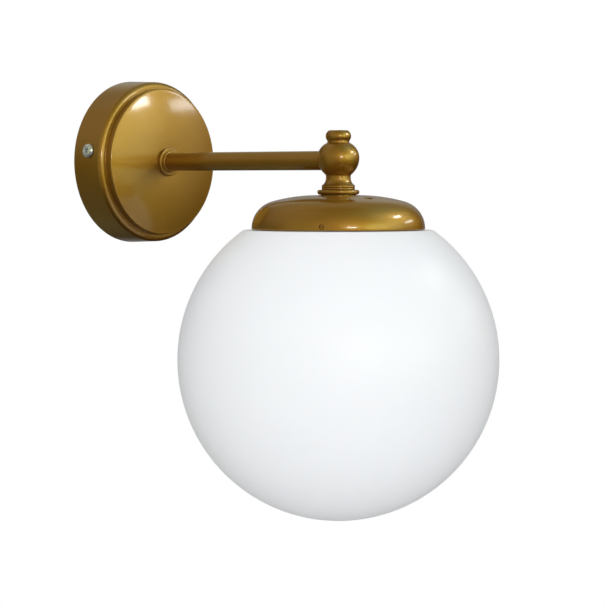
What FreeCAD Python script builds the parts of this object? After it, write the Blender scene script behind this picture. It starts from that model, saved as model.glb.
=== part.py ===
import FreeCAD, Part
import math
import os
import re
import Sketcher

# Globe wall sconce, in millimetres. +Z is up and the wall is the plane y = 0.
# The origin is on the wall, on the arm's axis, and the lamp stands out towards -Y.

SIZES = [
    # Fits
    ("thread_gap", 0.05, "radial clearance of a screw or nipple in its threaded hole"),
    ("hole_gap", 0.15, "radial clearance of a nipple in a plain hole"),
    ("seat_gap", 0.2, "gap between a curved surface and what rests on it"),
    ("rim_gap", 0.3, "gap between the cap's rim and the globe's shoulder"),
    # Canopy, from the wall outwards
    ("canopy_back_r", 53.6, "outer radius at the wall"),
    ("canopy_front_r", 52.8, "outer radius at the end of the side wall"),
    ("canopy_wall_depth", 21.0, "depth of the side wall"),
    ("canopy_shoulder_r", 3.3, "rounding between the side wall and the step"),
    ("canopy_cove_r", 0.3, "hollow rounding at the foot of the step"),
    ("canopy_step_r", 48.1, "outer radius of the raised face"),
    ("canopy_step_depth", 4.1, "height of the step"),
    ("canopy_edge_r", 0.9, "rounding of the face's edge"),
    ("canopy_dome_rise", 4.0, "rise of the domed face"),
    ("canopy_seat_r", 10.4, "radius of the flat seat under the arm's collar"),
    ("canopy_sheet", 1.2, "metal thickness of the canopy"),
    # Side screws of the canopy
    ("side_screw_depth", 13.0, "distance of the side screws from the wall"),
    ("side_screw_angle", 7.5, "angle of the side screws above level, in degrees"),
    ("side_screw_r", 1.95, "shank radius of the side screws and the earth screw"),
    ("side_screw_length", 8.0, "shank length of the side screws"),
    ("screw_head_r", 4.5, "radius of a pan head"),
    ("screw_head_height", 2.4, "height of a pan head"),
    ("screw_cross", 5.4, "width across the cross recess"),
    ("screw_cross_slot", 1.4, "width of one slot of the cross recess"),
    ("screw_cross_depth", 1.3, "depth of the cross recess"),
    # Wall bracket
    ("bracket_plate_r", 43.0, "radius of the bracket's plate"),
    ("bracket_sheet", 1.5, "metal thickness of the bracket"),
    ("bracket_bend_r", 1.2, "inner radius of the bent ears"),
    ("bracket_ear_width", 13.0, "width of an ear"),
    ("bracket_ear_length", 19.0, "length of an ear from the wall"),
    ("bracket_ear_gap", 0.3, "gap between an ear's end and the canopy"),
    ("wall_slot_pitch", 60.0, "distance between the centres of the wall slots"),
    ("wall_slot_length", 14.0, "end-to-end length of a wall slot"),
    ("wall_slot_r", 2.5, "half the width of a wall slot"),
    ("cable_bore_r", 6.5, "bore of the cable bushing"),
    ("bushing_wall", 2.0, "wall of the bushing's barrel"),
    ("bushing_flange", 2.6, "width of the bushing's flange"),
    ("bushing_flange_height", 1.5, "height of the bushing's flange"),
    ("bushing_round_r", 0.7, "rounding of the bushing's mouth"),
    # Terminal block
    ("block_height", 24.0, "height of the block's middle above the arm's axis"),
    ("pole_pitch", 8.5, "distance between two poles"),
    ("block_length", 17.0, "length of the block along its poles"),
    ("block_depth", 13.0, "depth of the block from its foot"),
    ("block_notch", 1.6, "width of the notches between the poles"),
    ("block_notch_depth", 2.0, "depth of the notches between the poles"),
    ("pole_depth", 6.5, "distance of the sleeves' axis from the block's foot"),
    ("sleeve_r", 2.4, "outer radius of a brass sleeve"),
    ("sleeve_bore_r", 1.5, "bore of a brass sleeve"),
    ("sleeve_inset", 1.0, "distance of a sleeve's end from the block's face"),
    ("clamp_screw_r", 1.2, "radius of a clamp screw"),
    ("clamp_screw_pitch", 8.0, "distance between a pole's two clamp screws"),
    ("clamp_screw_inset", 1.5, "depth of a clamp screw's top below the block's top"),
    ("fixing_screw_r", 1.45, "radius of the block's fixing screw"),
    ("fixing_head_r", 2.7, "head radius of the block's fixing screw"),
    ("fixing_head_height", 1.6, "head height of the block's fixing screw"),
    ("slot_width", 0.6, "width of a screwdriver slot"),
    ("slot_depth", 0.8, "depth of a screwdriver slot"),
    # Earth screw on the bracket
    ("earth_x", 20.0, "place of the earth screw to the right of the middle"),
    ("earth_drop", 18.0, "place of the earth screw below the middle"),
    ("tag_sheet", 0.8, "metal thickness of the ring tag"),
    ("tag_r", 4.4, "outer radius of the ring tag"),
    ("tag_reach", 7.0, "distance from the screw to the tag's barrel"),
    ("tag_barrel_length", 5.0, "length of the tag's barrel"),
    ("tag_barrel_wall", 0.6, "wall of the tag's barrel"),
    ("earth_washer_r", 3.9, "radius of the toothed washer under the earth screw"),
    ("earth_washer_height", 0.9, "thickness of that washer"),
    # Threaded tubes, their washers and nuts
    ("nipple_r", 5.0, "outer radius of the threaded nipples"),
    ("nipple_bore_r", 3.75, "bore of the threaded nipples"),
    ("nipple_grip", 9.0, "length of a nipple in the arm"),
    ("nipple_proud", 2.0, "length of a nipple beyond its nut"),
    ("washer_r", 9.0, "radius of a toothed washer"),
    ("washer_height", 1.0, "thickness of a toothed washer"),
    ("washer_notch", 1.5, "radius of the notches between a washer's teeth"),
    ("nut_across", 14.0, "width across a nut's flats"),
    ("nut_height", 4.0, "height of a nut"),
    # Arm
    ("arm_reach", 182.0, "distance of the stem's axis from the wall"),
    ("arm_r", 6.0, "outer radius of the arm tube"),
    ("arm_wall", 1.5, "wall of the arm tube"),
    ("arm_socket", 10.5, "distance of the arm's end from the stem's axis"),
    ("collar_r", 9.4, "radius of the collar's first ring"),
    ("collar_height", 2.3, "height of the collar's first ring"),
    ("collar_edge_r", 0.8, "rounding of the collar's first ring"),
    ("collar_ring_r", 7.2, "radius of the collar's second ring"),
    ("collar_ring_height", 1.2, "height of the collar's second ring"),
    ("collar_ring_edge_r", 0.5, "rounding of the collar's second ring"),
    # Knuckle ball, from its top down
    ("ball_top", 11.4, "height of the ball's top face above the arm's axis"),
    ("ball_top_lip", 0.4, "straight lip at the ball's top"),
    ("ball_top_r", 6.95, "radius of the ball's top face"),
    ("ball_r", 13.05, "largest radius of the ball"),
    ("ball_drop", 9.1, "depth of the ball's lower end below the arm's axis"),
    ("neck_r", 7.72, "radius of the neck under the ball"),
    ("neck_length", 1.9, "straight length of the neck"),
    ("neck_flare", 2.5, "distance by which the neck flares out"),
    ("neck_flare_height", 4.3, "height of the neck's flare"),
    ("neck_lip", 0.3, "straight lip under the flare"),
    # Finial
    ("finial_stud_grip", 5.0, "length of the finial's stud in the ball"),
    ("finial_stud_sink", 4.3, "length of the stud in the finial"),
    ("finial_neck_height", 0.8, "straight neck of the finial"),
    ("finial_neck_r", 6.85, "radius of the finial's neck"),
    ("finial_bulge", 8.0, "largest radius of the finial"),
    ("finial_top_r", 6.1, "radius of the finial's flat top"),
    ("finial_height", 7.2, "height of the finial"),
    # Rings between the ball and the cap
    ("stem_collar_r", 10.4, "radius of the stem collar's two beads"),
    ("stem_collar_height", 2.6, "height of the stem collar"),
    ("stem_bead", 0.4, "height of a bead above its groove"),
    ("flange_r", 13.1, "radius of the cap flange"),
    ("flange_bead", 1.0, "height of the flange's bead"),
    ("flange_bead_height", 2.6, "thickness of the flange's bead"),
    ("flange_foot_height", 0.7, "height of the flange's foot"),
    ("flange_foot_r", 10.8, "radius of the flange's foot"),
    # Globe cap
    ("cap_seat_r", 13.0, "radius of the cap's flat top"),
    ("cap_rim_r", 53.9, "outer radius of the cap's rim"),
    ("cap_crown_rise", 3.2, "height of the cap's crown"),
    ("cap_shoulder_r", 17.5, "radius of the cap's rounded shoulder"),
    ("cap_rim_land", 0.6, "straight height at the cap's rim"),
    ("cap_sheet", 1.0, "metal thickness of the cap"),
    ("vent_r", 2.7, "radius of a vent hole"),
    ("vent_place_r", 31.5, "distance of the vent holes from the stem's axis"),
    ("vent_angle", 256.6, "direction of the first vent hole, in degrees from +X"),
    ("rim_ring_height", 4.2, "height of the ring inside the rim"),
    ("rim_ring_lift", 0.3, "height of the ring above the rim's edge"),
    ("rim_ring_wall", 2.6, "distance of the ring's bore from the inside of the cap's rim"),
    ("rim_ring_clear", 0.8, "gap between the ring and the globe's neck"),
    # Neck screws
    ("neck_screw_r", 1.5, "radius of a neck screw"),
    ("neck_screw_rise", 2.5, "height of the neck screws above the rim's edge"),
    ("neck_screw_hole_gap", 0.3, "radial clearance of a neck screw in the cap"),
    ("neck_screw_inset", 1.0, "depth of a neck screw's end below the cap's surface"),
    ("neck_screw_tip_gap", 0.1, "gap between a neck screw's tip and the glass"),
    ("neck_screw_tip_r", 0.9, "radius of a neck screw's flat tip"),
    ("neck_screw_tip_length", 0.6, "length of a neck screw's tapered tip"),
    ("neck_screw_socket", 1.6, "width across the flats of the hexagon socket"),
    ("neck_screw_socket_depth", 1.5, "depth of the hexagon socket"),
    ("neck_screw_angle", 90.0, "direction of the first neck screw, in degrees from +X"),
    # Glass globe
    ("globe_r", 100.0, "outer radius of the globe"),
    ("globe_glass", 3.0, "thickness of the glass"),
    ("globe_shoulder_width", 5.1, "width of the flat shoulder outside the cap's rim"),
    ("globe_corner_r", 2.0, "rounding of the shoulder's edge"),
    ("globe_neck_height", 9.3, "height of the glass neck"),
    ("globe_neck_cove_r", 1.0, "hollow rounding at the foot of the neck"),
    # Lampholder, from its bridge down
    ("bridge_gap", 3.0, "space between the cap nut and the bridge"),
    ("bridge_boss_r", 6.8, "radius of the bridge's threaded boss"),
    ("bridge_boss_height", 4.5, "height of the boss above the strap"),
    ("bridge_length", 34.0, "length of the strap"),
    ("bridge_width", 12.0, "width of the strap"),
    ("bridge_sheet", 1.5, "thickness of the strap"),
    ("bridge_screw_place", 13.0, "distance of the bridge screws from the axis"),
    ("bridge_screw_r", 1.45, "shank radius of a bridge screw"),
    ("bridge_screw_length", 7.5, "shank length of a bridge screw"),
    ("bridge_head_r", 2.8, "head radius of a bridge screw"),
    ("bridge_head_height", 1.8, "head height of a bridge screw"),
    ("holder_height", 43.5, "height of the ceramic body"),
    ("holder_top_r", 18.5, "radius of the ceramic body's upper part"),
    ("holder_skirt_r", 20.5, "radius of the ceramic body's skirt"),
    ("holder_skirt_height", 24.0, "height of the skirt"),
    ("holder_cone_height", 4.0, "height of the cone above the skirt"),
    ("holder_round_r", 2.0, "rounding of the ceramic body's top"),
    ("holder_lip_r", 1.0, "rounding of the skirt's lower edge"),
    ("trough_depth", 11.0, "depth of the trough for the terminals"),
    ("trough_length", 31.5, "length of the trough"),
    ("trough_width", 9.0, "width of the trough"),
    ("holder_floor", 4.0, "thickness of the floor between trough and shell"),
    ("shell_gap", 0.2, "radial gap between the shell and the ceramic"),
    ("shell_sheet", 0.4, "metal thickness of the screw shell"),
    ("shell_fit", 0.3, "radial gap between the bulb's cap and the shell"),
    ("shell_inset", 2.5, "distance of the shell's edge from the skirt's edge"),
    ("shell_eye_r", 10.8, "radius of the opening in the shell's top"),
    ("post_inner", 7.0, "distance of a holder terminal's near face from the axis"),
    ("post_length", 8.0, "length of a holder terminal"),
    ("post_width", 7.0, "width of a holder terminal"),
    ("post_height", 6.0, "height of a holder terminal"),
    ("post_screw_place", 11.0, "distance of the terminal screws from the axis"),
    ("post_screw_r", 1.4, "radius of a holder terminal's screw"),
    ("post_screw_top", 3.0, "depth of the terminal screws' tops below the ceramic's top"),
    ("live_rivet_place", 8.5, "distance of the live rivet from the axis"),
    ("neutral_rivet_place", 12.0, "distance of the neutral rivet from the axis"),
    ("rivet_r", 0.9, "shank radius of a rivet"),
    ("rivet_head_r", 1.2, "head radius of a rivet"),
    ("rivet_head_height", 0.6, "head height of a rivet"),
    ("contact_sheet", 0.5, "thickness of the centre contact"),
    ("contact_width", 5.0, "width of the centre contact"),
    ("contact_drop", 2.6, "drop of the centre contact's tongue"),
    ("contact_reach", 3.5, "length of the tongue beyond the axis"),
    # Bulb, from its contact down
    ("bulb_gap", 0.2, "gap between the bulb's contact and the tongue"),
    ("pip_r", 3.6, "radius of the bulb's contact"),
    ("pip_top_r", 2.2, "radius of the contact's flat top"),
    ("pip_height", 1.5, "height of the bulb's contact"),
    ("insulator_top_r", 5.5, "upper radius of the insulator"),
    ("insulator_height", 3.0, "height of the insulator"),
    ("bulb_cap_r", 13.1, "radius over the thread of the bulb's cap"),
    ("bulb_cap_mouth_r", 10.9, "radius of the cap's upper edge"),
    ("bulb_cap_cone", 2.5, "height of the cone at the cap's upper end"),
    ("bulb_cap_sheet", 0.5, "metal thickness of the bulb's cap"),
    ("bulb_thread_depth", 0.6, "depth of the bulb's thread"),
    ("bulb_thread_pitch", 3.63, "pitch of the bulb's thread"),
    ("bulb_thread_land", 0.35, "width of the groove between two turns"),
    ("bulb_skirt", 1.8, "plain height at the cap's lower end"),
    ("housing_neck", 6.0, "length of the housing's neck inside the cap"),
    ("housing_wall", 1.5, "wall of the bulb's housing and diffuser"),
    ("housing_collar_r", 13.3, "radius of the housing just under the cap"),
    ("housing_height", 37.0, "height of the housing below the cap"),
    ("housing_curve_r", 95.0, "radius of the housing's hollow side"),
    ("diffuser_r", 30.0, "radius of the diffuser"),
    ("diffuser_cut", 13.0, "height of the diffuser's edge above its centre"),
    ("board_height", 1.6, "thickness of the light board"),
    ("board_rim", 1.9, "width of the housing's edge outside the light board"),
    ("board_ledge", 1.2, "width of the ledge on which the light board lies"),
    # Leads
    ("lead_r", 1.1, "outer radius of an insulated lead"),
    ("lead_side", 1.3, "distance of each lead from the middle of the arm"),
    ("lead_drop", 7.0, "straight run of a lead below the terminal block"),
    ("lead_cross_depth", 17.0, "depth at which the leads reach the arm's axis"),
    ("knuckle_bend_r", 5.5, "bend of the leads in the ball"),
    ("holder_bend_r", 5.0, "bend of the leads above the holder's terminals"),
    ("lead_end", 2.0, "length of a lead inside its holder terminal"),
]
ALIASES = {alias for alias, _number, _meaning in SIZES}
POLES = 3
NECK_SCREWS = 3
THREAD_TURNS = 4
WASHER_TEETH = 8
PAN_FLAT = 0.58
PAN_ROUNDING = 0.49
PAN_EDGE = 0.375
LEFT = 1
RIGHT = -1

doc = FreeCAD.newDocument("globe_wall_sconce")
sheet = doc.addObject("Spreadsheet::Sheet", "Sizes")
for row, (alias, number, meaning) in enumerate(SIZES, start=1):
    sheet.set(f"A{row}", meaning)
    sheet.set(f"B{row}", str(number))
    sheet.setAlias(f"B{row}", alias)
doc.recompute()

# Levels that several pieces share, as expressions. Depths run from the wall
# outwards and levels run upwards from the arm's axis.
SHOULDER_DEPTH = "(canopy_wall_depth + canopy_shoulder_r)"
EDGE_DEPTH = f"({SHOULDER_DEPTH} + canopy_step_depth)"
DOME_DEPTH = f"({EDGE_DEPTH} + canopy_edge_r)"
FACE_DEPTH = f"({DOME_DEPTH} + canopy_dome_rise)"
COLLAR_DEPTH = f"({FACE_DEPTH} + collar_height)"
ARM_START = f"({COLLAR_DEPTH} + collar_ring_height)"
ARM_END = "(arm_reach - arm_socket)"
NUT_DEPTH = f"({FACE_DEPTH} - canopy_sheet - washer_height - nut_height)"
SIDE_SCREW_SEAT = (
    "(canopy_back_r - (canopy_back_r - canopy_front_r) * side_screw_depth / canopy_wall_depth)"
)
EAR_END_R = (
    "(canopy_back_r - (canopy_back_r - canopy_front_r) * bracket_ear_length / canopy_wall_depth"
    " - canopy_sheet - bracket_ear_gap)"
)
EAR_R = f"sqrt({EAR_END_R} ^ 2 - (bracket_ear_width / 2) ^ 2)"
POLE_DEPTH = "(bracket_sheet + pole_depth)"
BLOCK_TOP_DEPTH = "(bracket_sheet + block_depth)"
NECK_FOOT = "(ball_drop + neck_length + neck_flare_height + neck_lip)"
FLANGE_TOP = f"({NECK_FOOT} + stem_collar_height)"
CAP_TOP = f"({FLANGE_TOP} + flange_bead_height + flange_foot_height)"
CAP_HEIGHT = "(cap_crown_rise + cap_shoulder_r + cap_rim_land)"
CAP_RIM = f"({CAP_TOP} + {CAP_HEIGHT})"
NECK_SCREW_LEVEL = f"({CAP_RIM} - neck_screw_rise)"
RING_BORE_R = "(cap_rim_r - cap_sheet - rim_ring_wall)"
GLASS_NECK_R = f"({RING_BORE_R} - rim_ring_clear)"
SHOULDER_RISE = "sqrt(globe_r ^ 2 - (cap_rim_r + globe_shoulder_width) ^ 2)"
GLOBE_CENTRE = f"({CAP_RIM} + rim_gap + {SHOULDER_RISE})"
CAP_NUT_FOOT = f"({CAP_TOP} + cap_sheet + washer_height + nut_height)"
BRIDGE_TOP = f"({CAP_NUT_FOOT} + bridge_gap)"
HOLDER_TOP = f"({BRIDGE_TOP} + bridge_boss_height + bridge_sheet)"
SHELL_TOP = "(trough_depth + holder_floor)"
POST_LEVEL = f"({HOLDER_TOP} + trough_depth - post_height / 2)"
BULB_TOP = f"({HOLDER_TOP} + {SHELL_TOP} + contact_drop + contact_sheet + bulb_gap)"
BULB_CAP_TOP = "(pip_height + insulator_height)"
THREAD_START = f"({BULB_CAP_TOP} + bulb_cap_cone)"
BULB_CAP_FOOT = f"({THREAD_START} + {THREAD_TURNS} * bulb_thread_pitch + bulb_skirt)"
HOUSING_FOOT = f"({BULB_CAP_FOOT} + housing_height)"
DIFFUSER_EDGE_R = "sqrt(diffuser_r ^ 2 - diffuser_cut ^ 2)"


def bound(text):
    """The text with each alias pointed at the sheet."""
    return re.sub(r"[a-z_][a-z0-9_]*", lambda word: point_at_sheet(word[0]), text)


def point_at_sheet(word):
    """The word itself, or its cell if it is an alias."""
    return f"Sizes.{word}" if word in ALIASES else word


def value(text):
    """The number that an expression gives now."""
    return float(sheet.evalExpression(bound(text)))


def arc_radius(chord, rise):
    """Radius of an arc with this chord that stands out by this rise."""
    return f"((({chord}) ^ 2 / 4 + ({rise}) ^ 2) / (2 * ({rise})))"


def origin_feature(body, role):
    """A plane or axis of the body's own origin."""
    return next(item for item in body.Origin.OriginFeatures if item.Role == role)


def new_body(name, x="0", y="0", z="0", several=False):
    """An empty body whose place follows the sheet."""
    body = doc.addObject("PartDesign::Body", name)
    body.Label = name
    body.AllowCompound = several
    for axis, text in (("x", x), ("y", y), ("z", z)):
        if text != "0":
            body.setExpression(f"Placement.Base.{axis}", bound(text))
    return body


def turn_body(body, axis, degrees):
    """Turn the body about an axis through its own origin."""
    body.Placement = FreeCAD.Placement(body.Placement.Base, FreeCAD.Rotation(axis, 0))
    body.setExpression("Placement.Rotation.Angle", f"({bound(degrees)}) * 1 deg")


def new_sketch(body, plane, offset="0", turned="0"):
    """A sketch on one of the body's planes, moved along the plane's normal."""
    sketch = body.newObject("Sketcher::SketchObject", f"{body.Name}_outline")
    sketch.AttachmentSupport = [(origin_feature(body, plane), "")]
    sketch.MapMode = "FlatFace"
    if offset != "0":
        sketch.setExpression("AttachmentOffset.Base.z", bound(offset))
    if turned != "0":
        sketch.setExpression("AttachmentOffset.Rotation.Angle", f"({bound(turned)}) * 1 deg")
    return sketch


def fix_point(sketch, element, end, x, y):
    """Hold one end of an element at the place that two expressions give."""
    for kind, axis, text in (("DistanceX", -2, x), ("DistanceY", -1, y)):
        if text == "0":
            sketch.addConstraint(Sketcher.Constraint("PointOnObject", element, end, axis))
        else:
            index = sketch.addConstraint(Sketcher.Constraint(kind, element, end, value(text)))
            sketch.setExpression(f"Constraints[{index}]", bound(text))


def fix_radius(sketch, element, text):
    """Hold the radius of an arc or a circle."""
    index = sketch.addConstraint(Sketcher.Constraint("Radius", element, value(text)))
    sketch.setExpression(f"Constraints[{index}]", bound(text))


def arc_between(start, end, radius, side):
    """The short arc from start to end with its centre on one side of the way."""
    middle = (start + end) * 0.5
    chord = end - start
    along = math.sqrt(radius ** 2 - chord.Length ** 2 / 4)
    across = FreeCAD.Vector(-chord.y, chord.x, 0).normalize() * side
    centre = middle + across * along
    angles = [math.atan2(point.y - centre.y, point.x - centre.x) for point in (start, end)]
    circle = Part.Circle(centre, FreeCAD.Vector(0, 0, 1), radius)
    return Part.ArcOfCircle(circle, *angles[::side])


def draw_outline(sketch, corners):
    """A closed outline. A corner is x, y, and for an arc to the next corner its
    radius and the side of its centre, as seen along the way. A half round has no
    radius: its centre is held beside its ends."""
    places = [FreeCAD.Vector(value(corner[0]), value(corner[1]), 0) for corner in corners]
    elements = []
    for index, corner in enumerate(corners):
        start = places[index]
        end = places[(index + 1) % len(places)]
        if len(corner) == 2:
            element = sketch.addGeometry(Part.LineSegment(start, end))
            elements.append((element, 1, 2))
        else:
            radius = (end - start).Length / 2 if corner[2] is None else value(corner[2])
            arc = arc_between(start, end, radius, corner[3])
            element = sketch.addGeometry(arc)
            ends = (1, 2)[:: corner[3]]
            elements.append((element, *ends))
    for index, (element, _first, last) in enumerate(elements):
        following = elements[(index + 1) % len(elements)]
        joint = Sketcher.Constraint("Coincident", element, last, following[0], following[1])
        sketch.addConstraint(joint)
    for (element, first, _last), corner in zip(elements, corners):
        fix_point(sketch, element, first, corner[0], corner[1])
        if len(corner) == 4 and corner[2] is None:
            sketch.addConstraint(Sketcher.Constraint("Vertical", element, first, element, 3))
        elif len(corner) == 4:
            fix_radius(sketch, element, corner[2])


def draw_circle(sketch, x, y, radius):
    """A circle with a bound centre and radius."""
    centre = FreeCAD.Vector(value(x), value(y), 0)
    circle = Part.Circle(centre, FreeCAD.Vector(0, 0, 1), value(radius))
    element = sketch.addGeometry(circle)
    fix_point(sketch, element, 3, x, y)
    fix_radius(sketch, element, radius)


def draw_box(sketch, x, y, width, height):
    """A rectangle about the point x, y."""
    left = f"{x} - ({width}) / 2"
    right = f"{x} + ({width}) / 2"
    low = f"{y} - ({height}) / 2"
    high = f"{y} + ({height}) / 2"
    draw_outline(sketch, [(left, low), (right, low), (right, high), (left, high)])


def draw_slot(sketch, x, y, length, radius):
    """A level slot with round ends about the point x, y."""
    half = f"(({length}) / 2 - {radius})"
    corners = [
        (f"{x} - {half}", f"{y} - {radius}"),
        (f"{x} + {half}", f"{y} - {radius}", None, LEFT),
        (f"{x} + {half}", f"{y} + {radius}"),
        (f"{x} - {half}", f"{y} + {radius}", None, LEFT),
    ]
    draw_outline(sketch, corners)


def draw_hexagon(sketch, across):
    """A hexagon about the middle, with this width across its flats."""
    corner_r = f"({across}) / sqrt(3)"
    flat = f"({across}) / 2"
    half = f"{corner_r} / 2"
    corners = [
        (corner_r, "0"),
        (half, flat),
        (f"-{half}", flat),
        (f"-{corner_r}", "0"),
        (f"-{half}", f"-{flat}"),
        (half, f"-{flat}"),
    ]
    draw_outline(sketch, corners)


def draw_cross(sketch, span, slot):
    """A cross about the middle."""
    far = f"{span} / 2"
    near = f"{slot} / 2"
    quarter = [(far, near), (near, near), (near, far)]
    corners = []
    for x, y in quarter:
        corners.append((x, y))
    for x, y in quarter[::-1]:
        corners.append((f"-{x}", y))
    for x, y in quarter:
        corners.append((f"-{x}", f"-{y}"))
    for x, y in quarter[::-1]:
        corners.append((x, f"-{y}"))
    draw_outline(sketch, corners)


def add_revolution(body, plane, axis, corners):
    """Turn a closed outline once about the sketch's own H_Axis or V_Axis."""
    sketch = new_sketch(body, plane)
    draw_outline(sketch, corners)
    turning = body.newObject("PartDesign::Revolution", f"{body.Name}_turning")
    turning.Profile = sketch
    turning.ReferenceAxis = (sketch, [axis])
    turning.Angle = 360
    body.Tip = turning
    return turning


def add_pad(body, sketch, length, both_ways=False, backwards=False):
    """Raise a sketch by a length, from its plane or about it."""
    pad = body.newObject("PartDesign::Pad", f"{body.Name}_pad")
    pad.Profile = sketch
    pad.SideType = "Symmetric" if both_ways else "One side"
    pad.Reversed = backwards
    pad.setExpression("Length", bound(length))
    body.Tip = pad
    return pad


def add_pocket(body, sketch, length=None, both_ways=False, backwards=False):
    """Cut a sketch against its normal, to a depth or right through."""
    pocket = body.newObject("PartDesign::Pocket", f"{body.Name}_pocket")
    pocket.Profile = sketch
    pocket.SideType = "Symmetric" if both_ways else "One side"
    pocket.Reversed = backwards
    if length is None:
        pocket.Type = "ThroughAll"
    else:
        pocket.setExpression("Length", bound(length))
    body.Tip = pocket
    return pocket


def add_ring_pattern(body, features, axis, count):
    """Repeat features evenly about one of the body's own axes."""
    doc.recompute()
    pattern = body.newObject("PartDesign::PolarPattern", f"{body.Name}_pattern")
    pattern.Originals = features
    pattern.Axis = (origin_feature(body, axis), [""])
    pattern.Angle = 360
    pattern.Occurrences = count
    body.Tip = pattern
    return pattern


def turned_on_stem(name, level, corners):
    """A turned piece on the stem's axis, with its own zero at a depth below the arm's axis."""
    body = new_body(name, y="-arm_reach", z=f"-{level}")
    add_revolution(body, "XZ_Plane", "V_Axis", corners)
    return body


def turned_on_arm(name, corners):
    """A turned piece on the arm's axis. Its outline gives radius and -depth."""
    body = new_body(name)
    add_revolution(body, "XY_Plane", "V_Axis", corners)
    return body


def tube_outline(bore, outer, start, end, chamfer):
    """Outline of a tube between two places on its axis, with chamfered outer edges."""
    return [
        (bore, start),
        (f"{outer} - {chamfer}", start),
        (outer, f"{start} + {chamfer}"),
        (outer, f"{end} - {chamfer}"),
        (f"{outer} - {chamfer}", end),
        (bore, end),
    ]


def pan_screw(body, seat, shank_r, length, head_r, head_height):
    """A pan-head screw along the body's X axis, its head beyond the seat."""
    top = f"{seat} + {head_height}"
    corners = [
        (f"{seat} - {length}", "0"),
        (top, "0"),
        (top, f"{head_r} * {PAN_FLAT}", f"{head_r} * {PAN_ROUNDING}", LEFT),
        (f"{seat} + {head_height} * {PAN_EDGE}", head_r),
        (seat, head_r),
        (seat, shank_r),
        (f"{seat} - {length}", shank_r),
    ]
    return add_revolution(body, "XY_Plane", "H_Axis", corners)


def make_canopy():
    """Spun bowl on the wall: side wall, rounded shoulder, step and domed face."""
    dome_span = "(canopy_step_r - canopy_edge_r - canopy_seat_r)"
    dome_r = f"(({dome_span} ^ 2 + canopy_dome_rise ^ 2) / (2 * canopy_dome_rise))"
    inner_step_r = "(canopy_step_r - canopy_sheet)"
    inner_reach = f"sqrt(({dome_r} - canopy_sheet) ^ 2 - ({inner_step_r} - canopy_seat_r) ^ 2)"
    inner_corner = f"({FACE_DEPTH} - {dome_r} + {inner_reach})"
    inner_shoulder_r = "(canopy_shoulder_r - canopy_sheet)"
    hole_r = "(nipple_r + hole_gap)"
    corners = [
        (hole_r, f"-{FACE_DEPTH}"),
        ("canopy_seat_r", f"-{FACE_DEPTH}", dome_r, LEFT),
        ("canopy_step_r - canopy_edge_r", f"-{DOME_DEPTH}", "canopy_edge_r", LEFT),
        ("canopy_step_r", f"-{EDGE_DEPTH}"),
        ("canopy_step_r", f"-({SHOULDER_DEPTH} + canopy_cove_r)", "canopy_cove_r", RIGHT),
        ("canopy_step_r + canopy_cove_r", f"-{SHOULDER_DEPTH}"),
        ("canopy_front_r - canopy_shoulder_r", f"-{SHOULDER_DEPTH}", "canopy_shoulder_r", LEFT),
        ("canopy_front_r", "-canopy_wall_depth"),
        ("canopy_back_r", "0"),
        ("canopy_back_r - canopy_sheet", "0"),
        ("canopy_front_r - canopy_sheet", "-canopy_wall_depth", inner_shoulder_r, RIGHT),
        ("canopy_front_r - canopy_shoulder_r", f"-({SHOULDER_DEPTH} - canopy_sheet)"),
        (inner_step_r, f"-({SHOULDER_DEPTH} - canopy_sheet)"),
        (inner_step_r, f"-{inner_corner}", f"({dome_r} - canopy_sheet)", RIGHT),
        ("canopy_seat_r", f"-({FACE_DEPTH} - canopy_sheet)"),
        (hole_r, f"-({FACE_DEPTH} - canopy_sheet)"),
    ]
    body = turned_on_arm("canopy", corners)
    turn_body(body, FreeCAD.Vector(0, 1, 0), "side_screw_angle")
    holes = new_sketch(body, "YZ_Plane")
    draw_circle(holes, "-side_screw_depth", "0", "side_screw_r + hole_gap")
    add_pocket(body, holes, both_ways=True)


def make_canopy_screws():
    """Two cross-head screws that hold the canopy to the bracket's ears."""
    body = new_body("canopy_screws", y="-side_screw_depth", several=True)
    turn_body(body, FreeCAD.Vector(0, 1, 0), "side_screw_angle")
    seat = f"({SIDE_SCREW_SEAT} + seat_gap)"
    screw = pan_screw(
        body, seat, "side_screw_r", "side_screw_length", "screw_head_r", "screw_head_height"
    )
    recess = new_sketch(body, "YZ_Plane", offset=f"{seat} + screw_head_height")
    draw_cross(recess, "screw_cross", "screw_cross_slot")
    cut = add_pocket(body, recess, "screw_cross_depth")
    add_ring_pattern(body, [screw, cut], "Y_Axis", 2)


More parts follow.
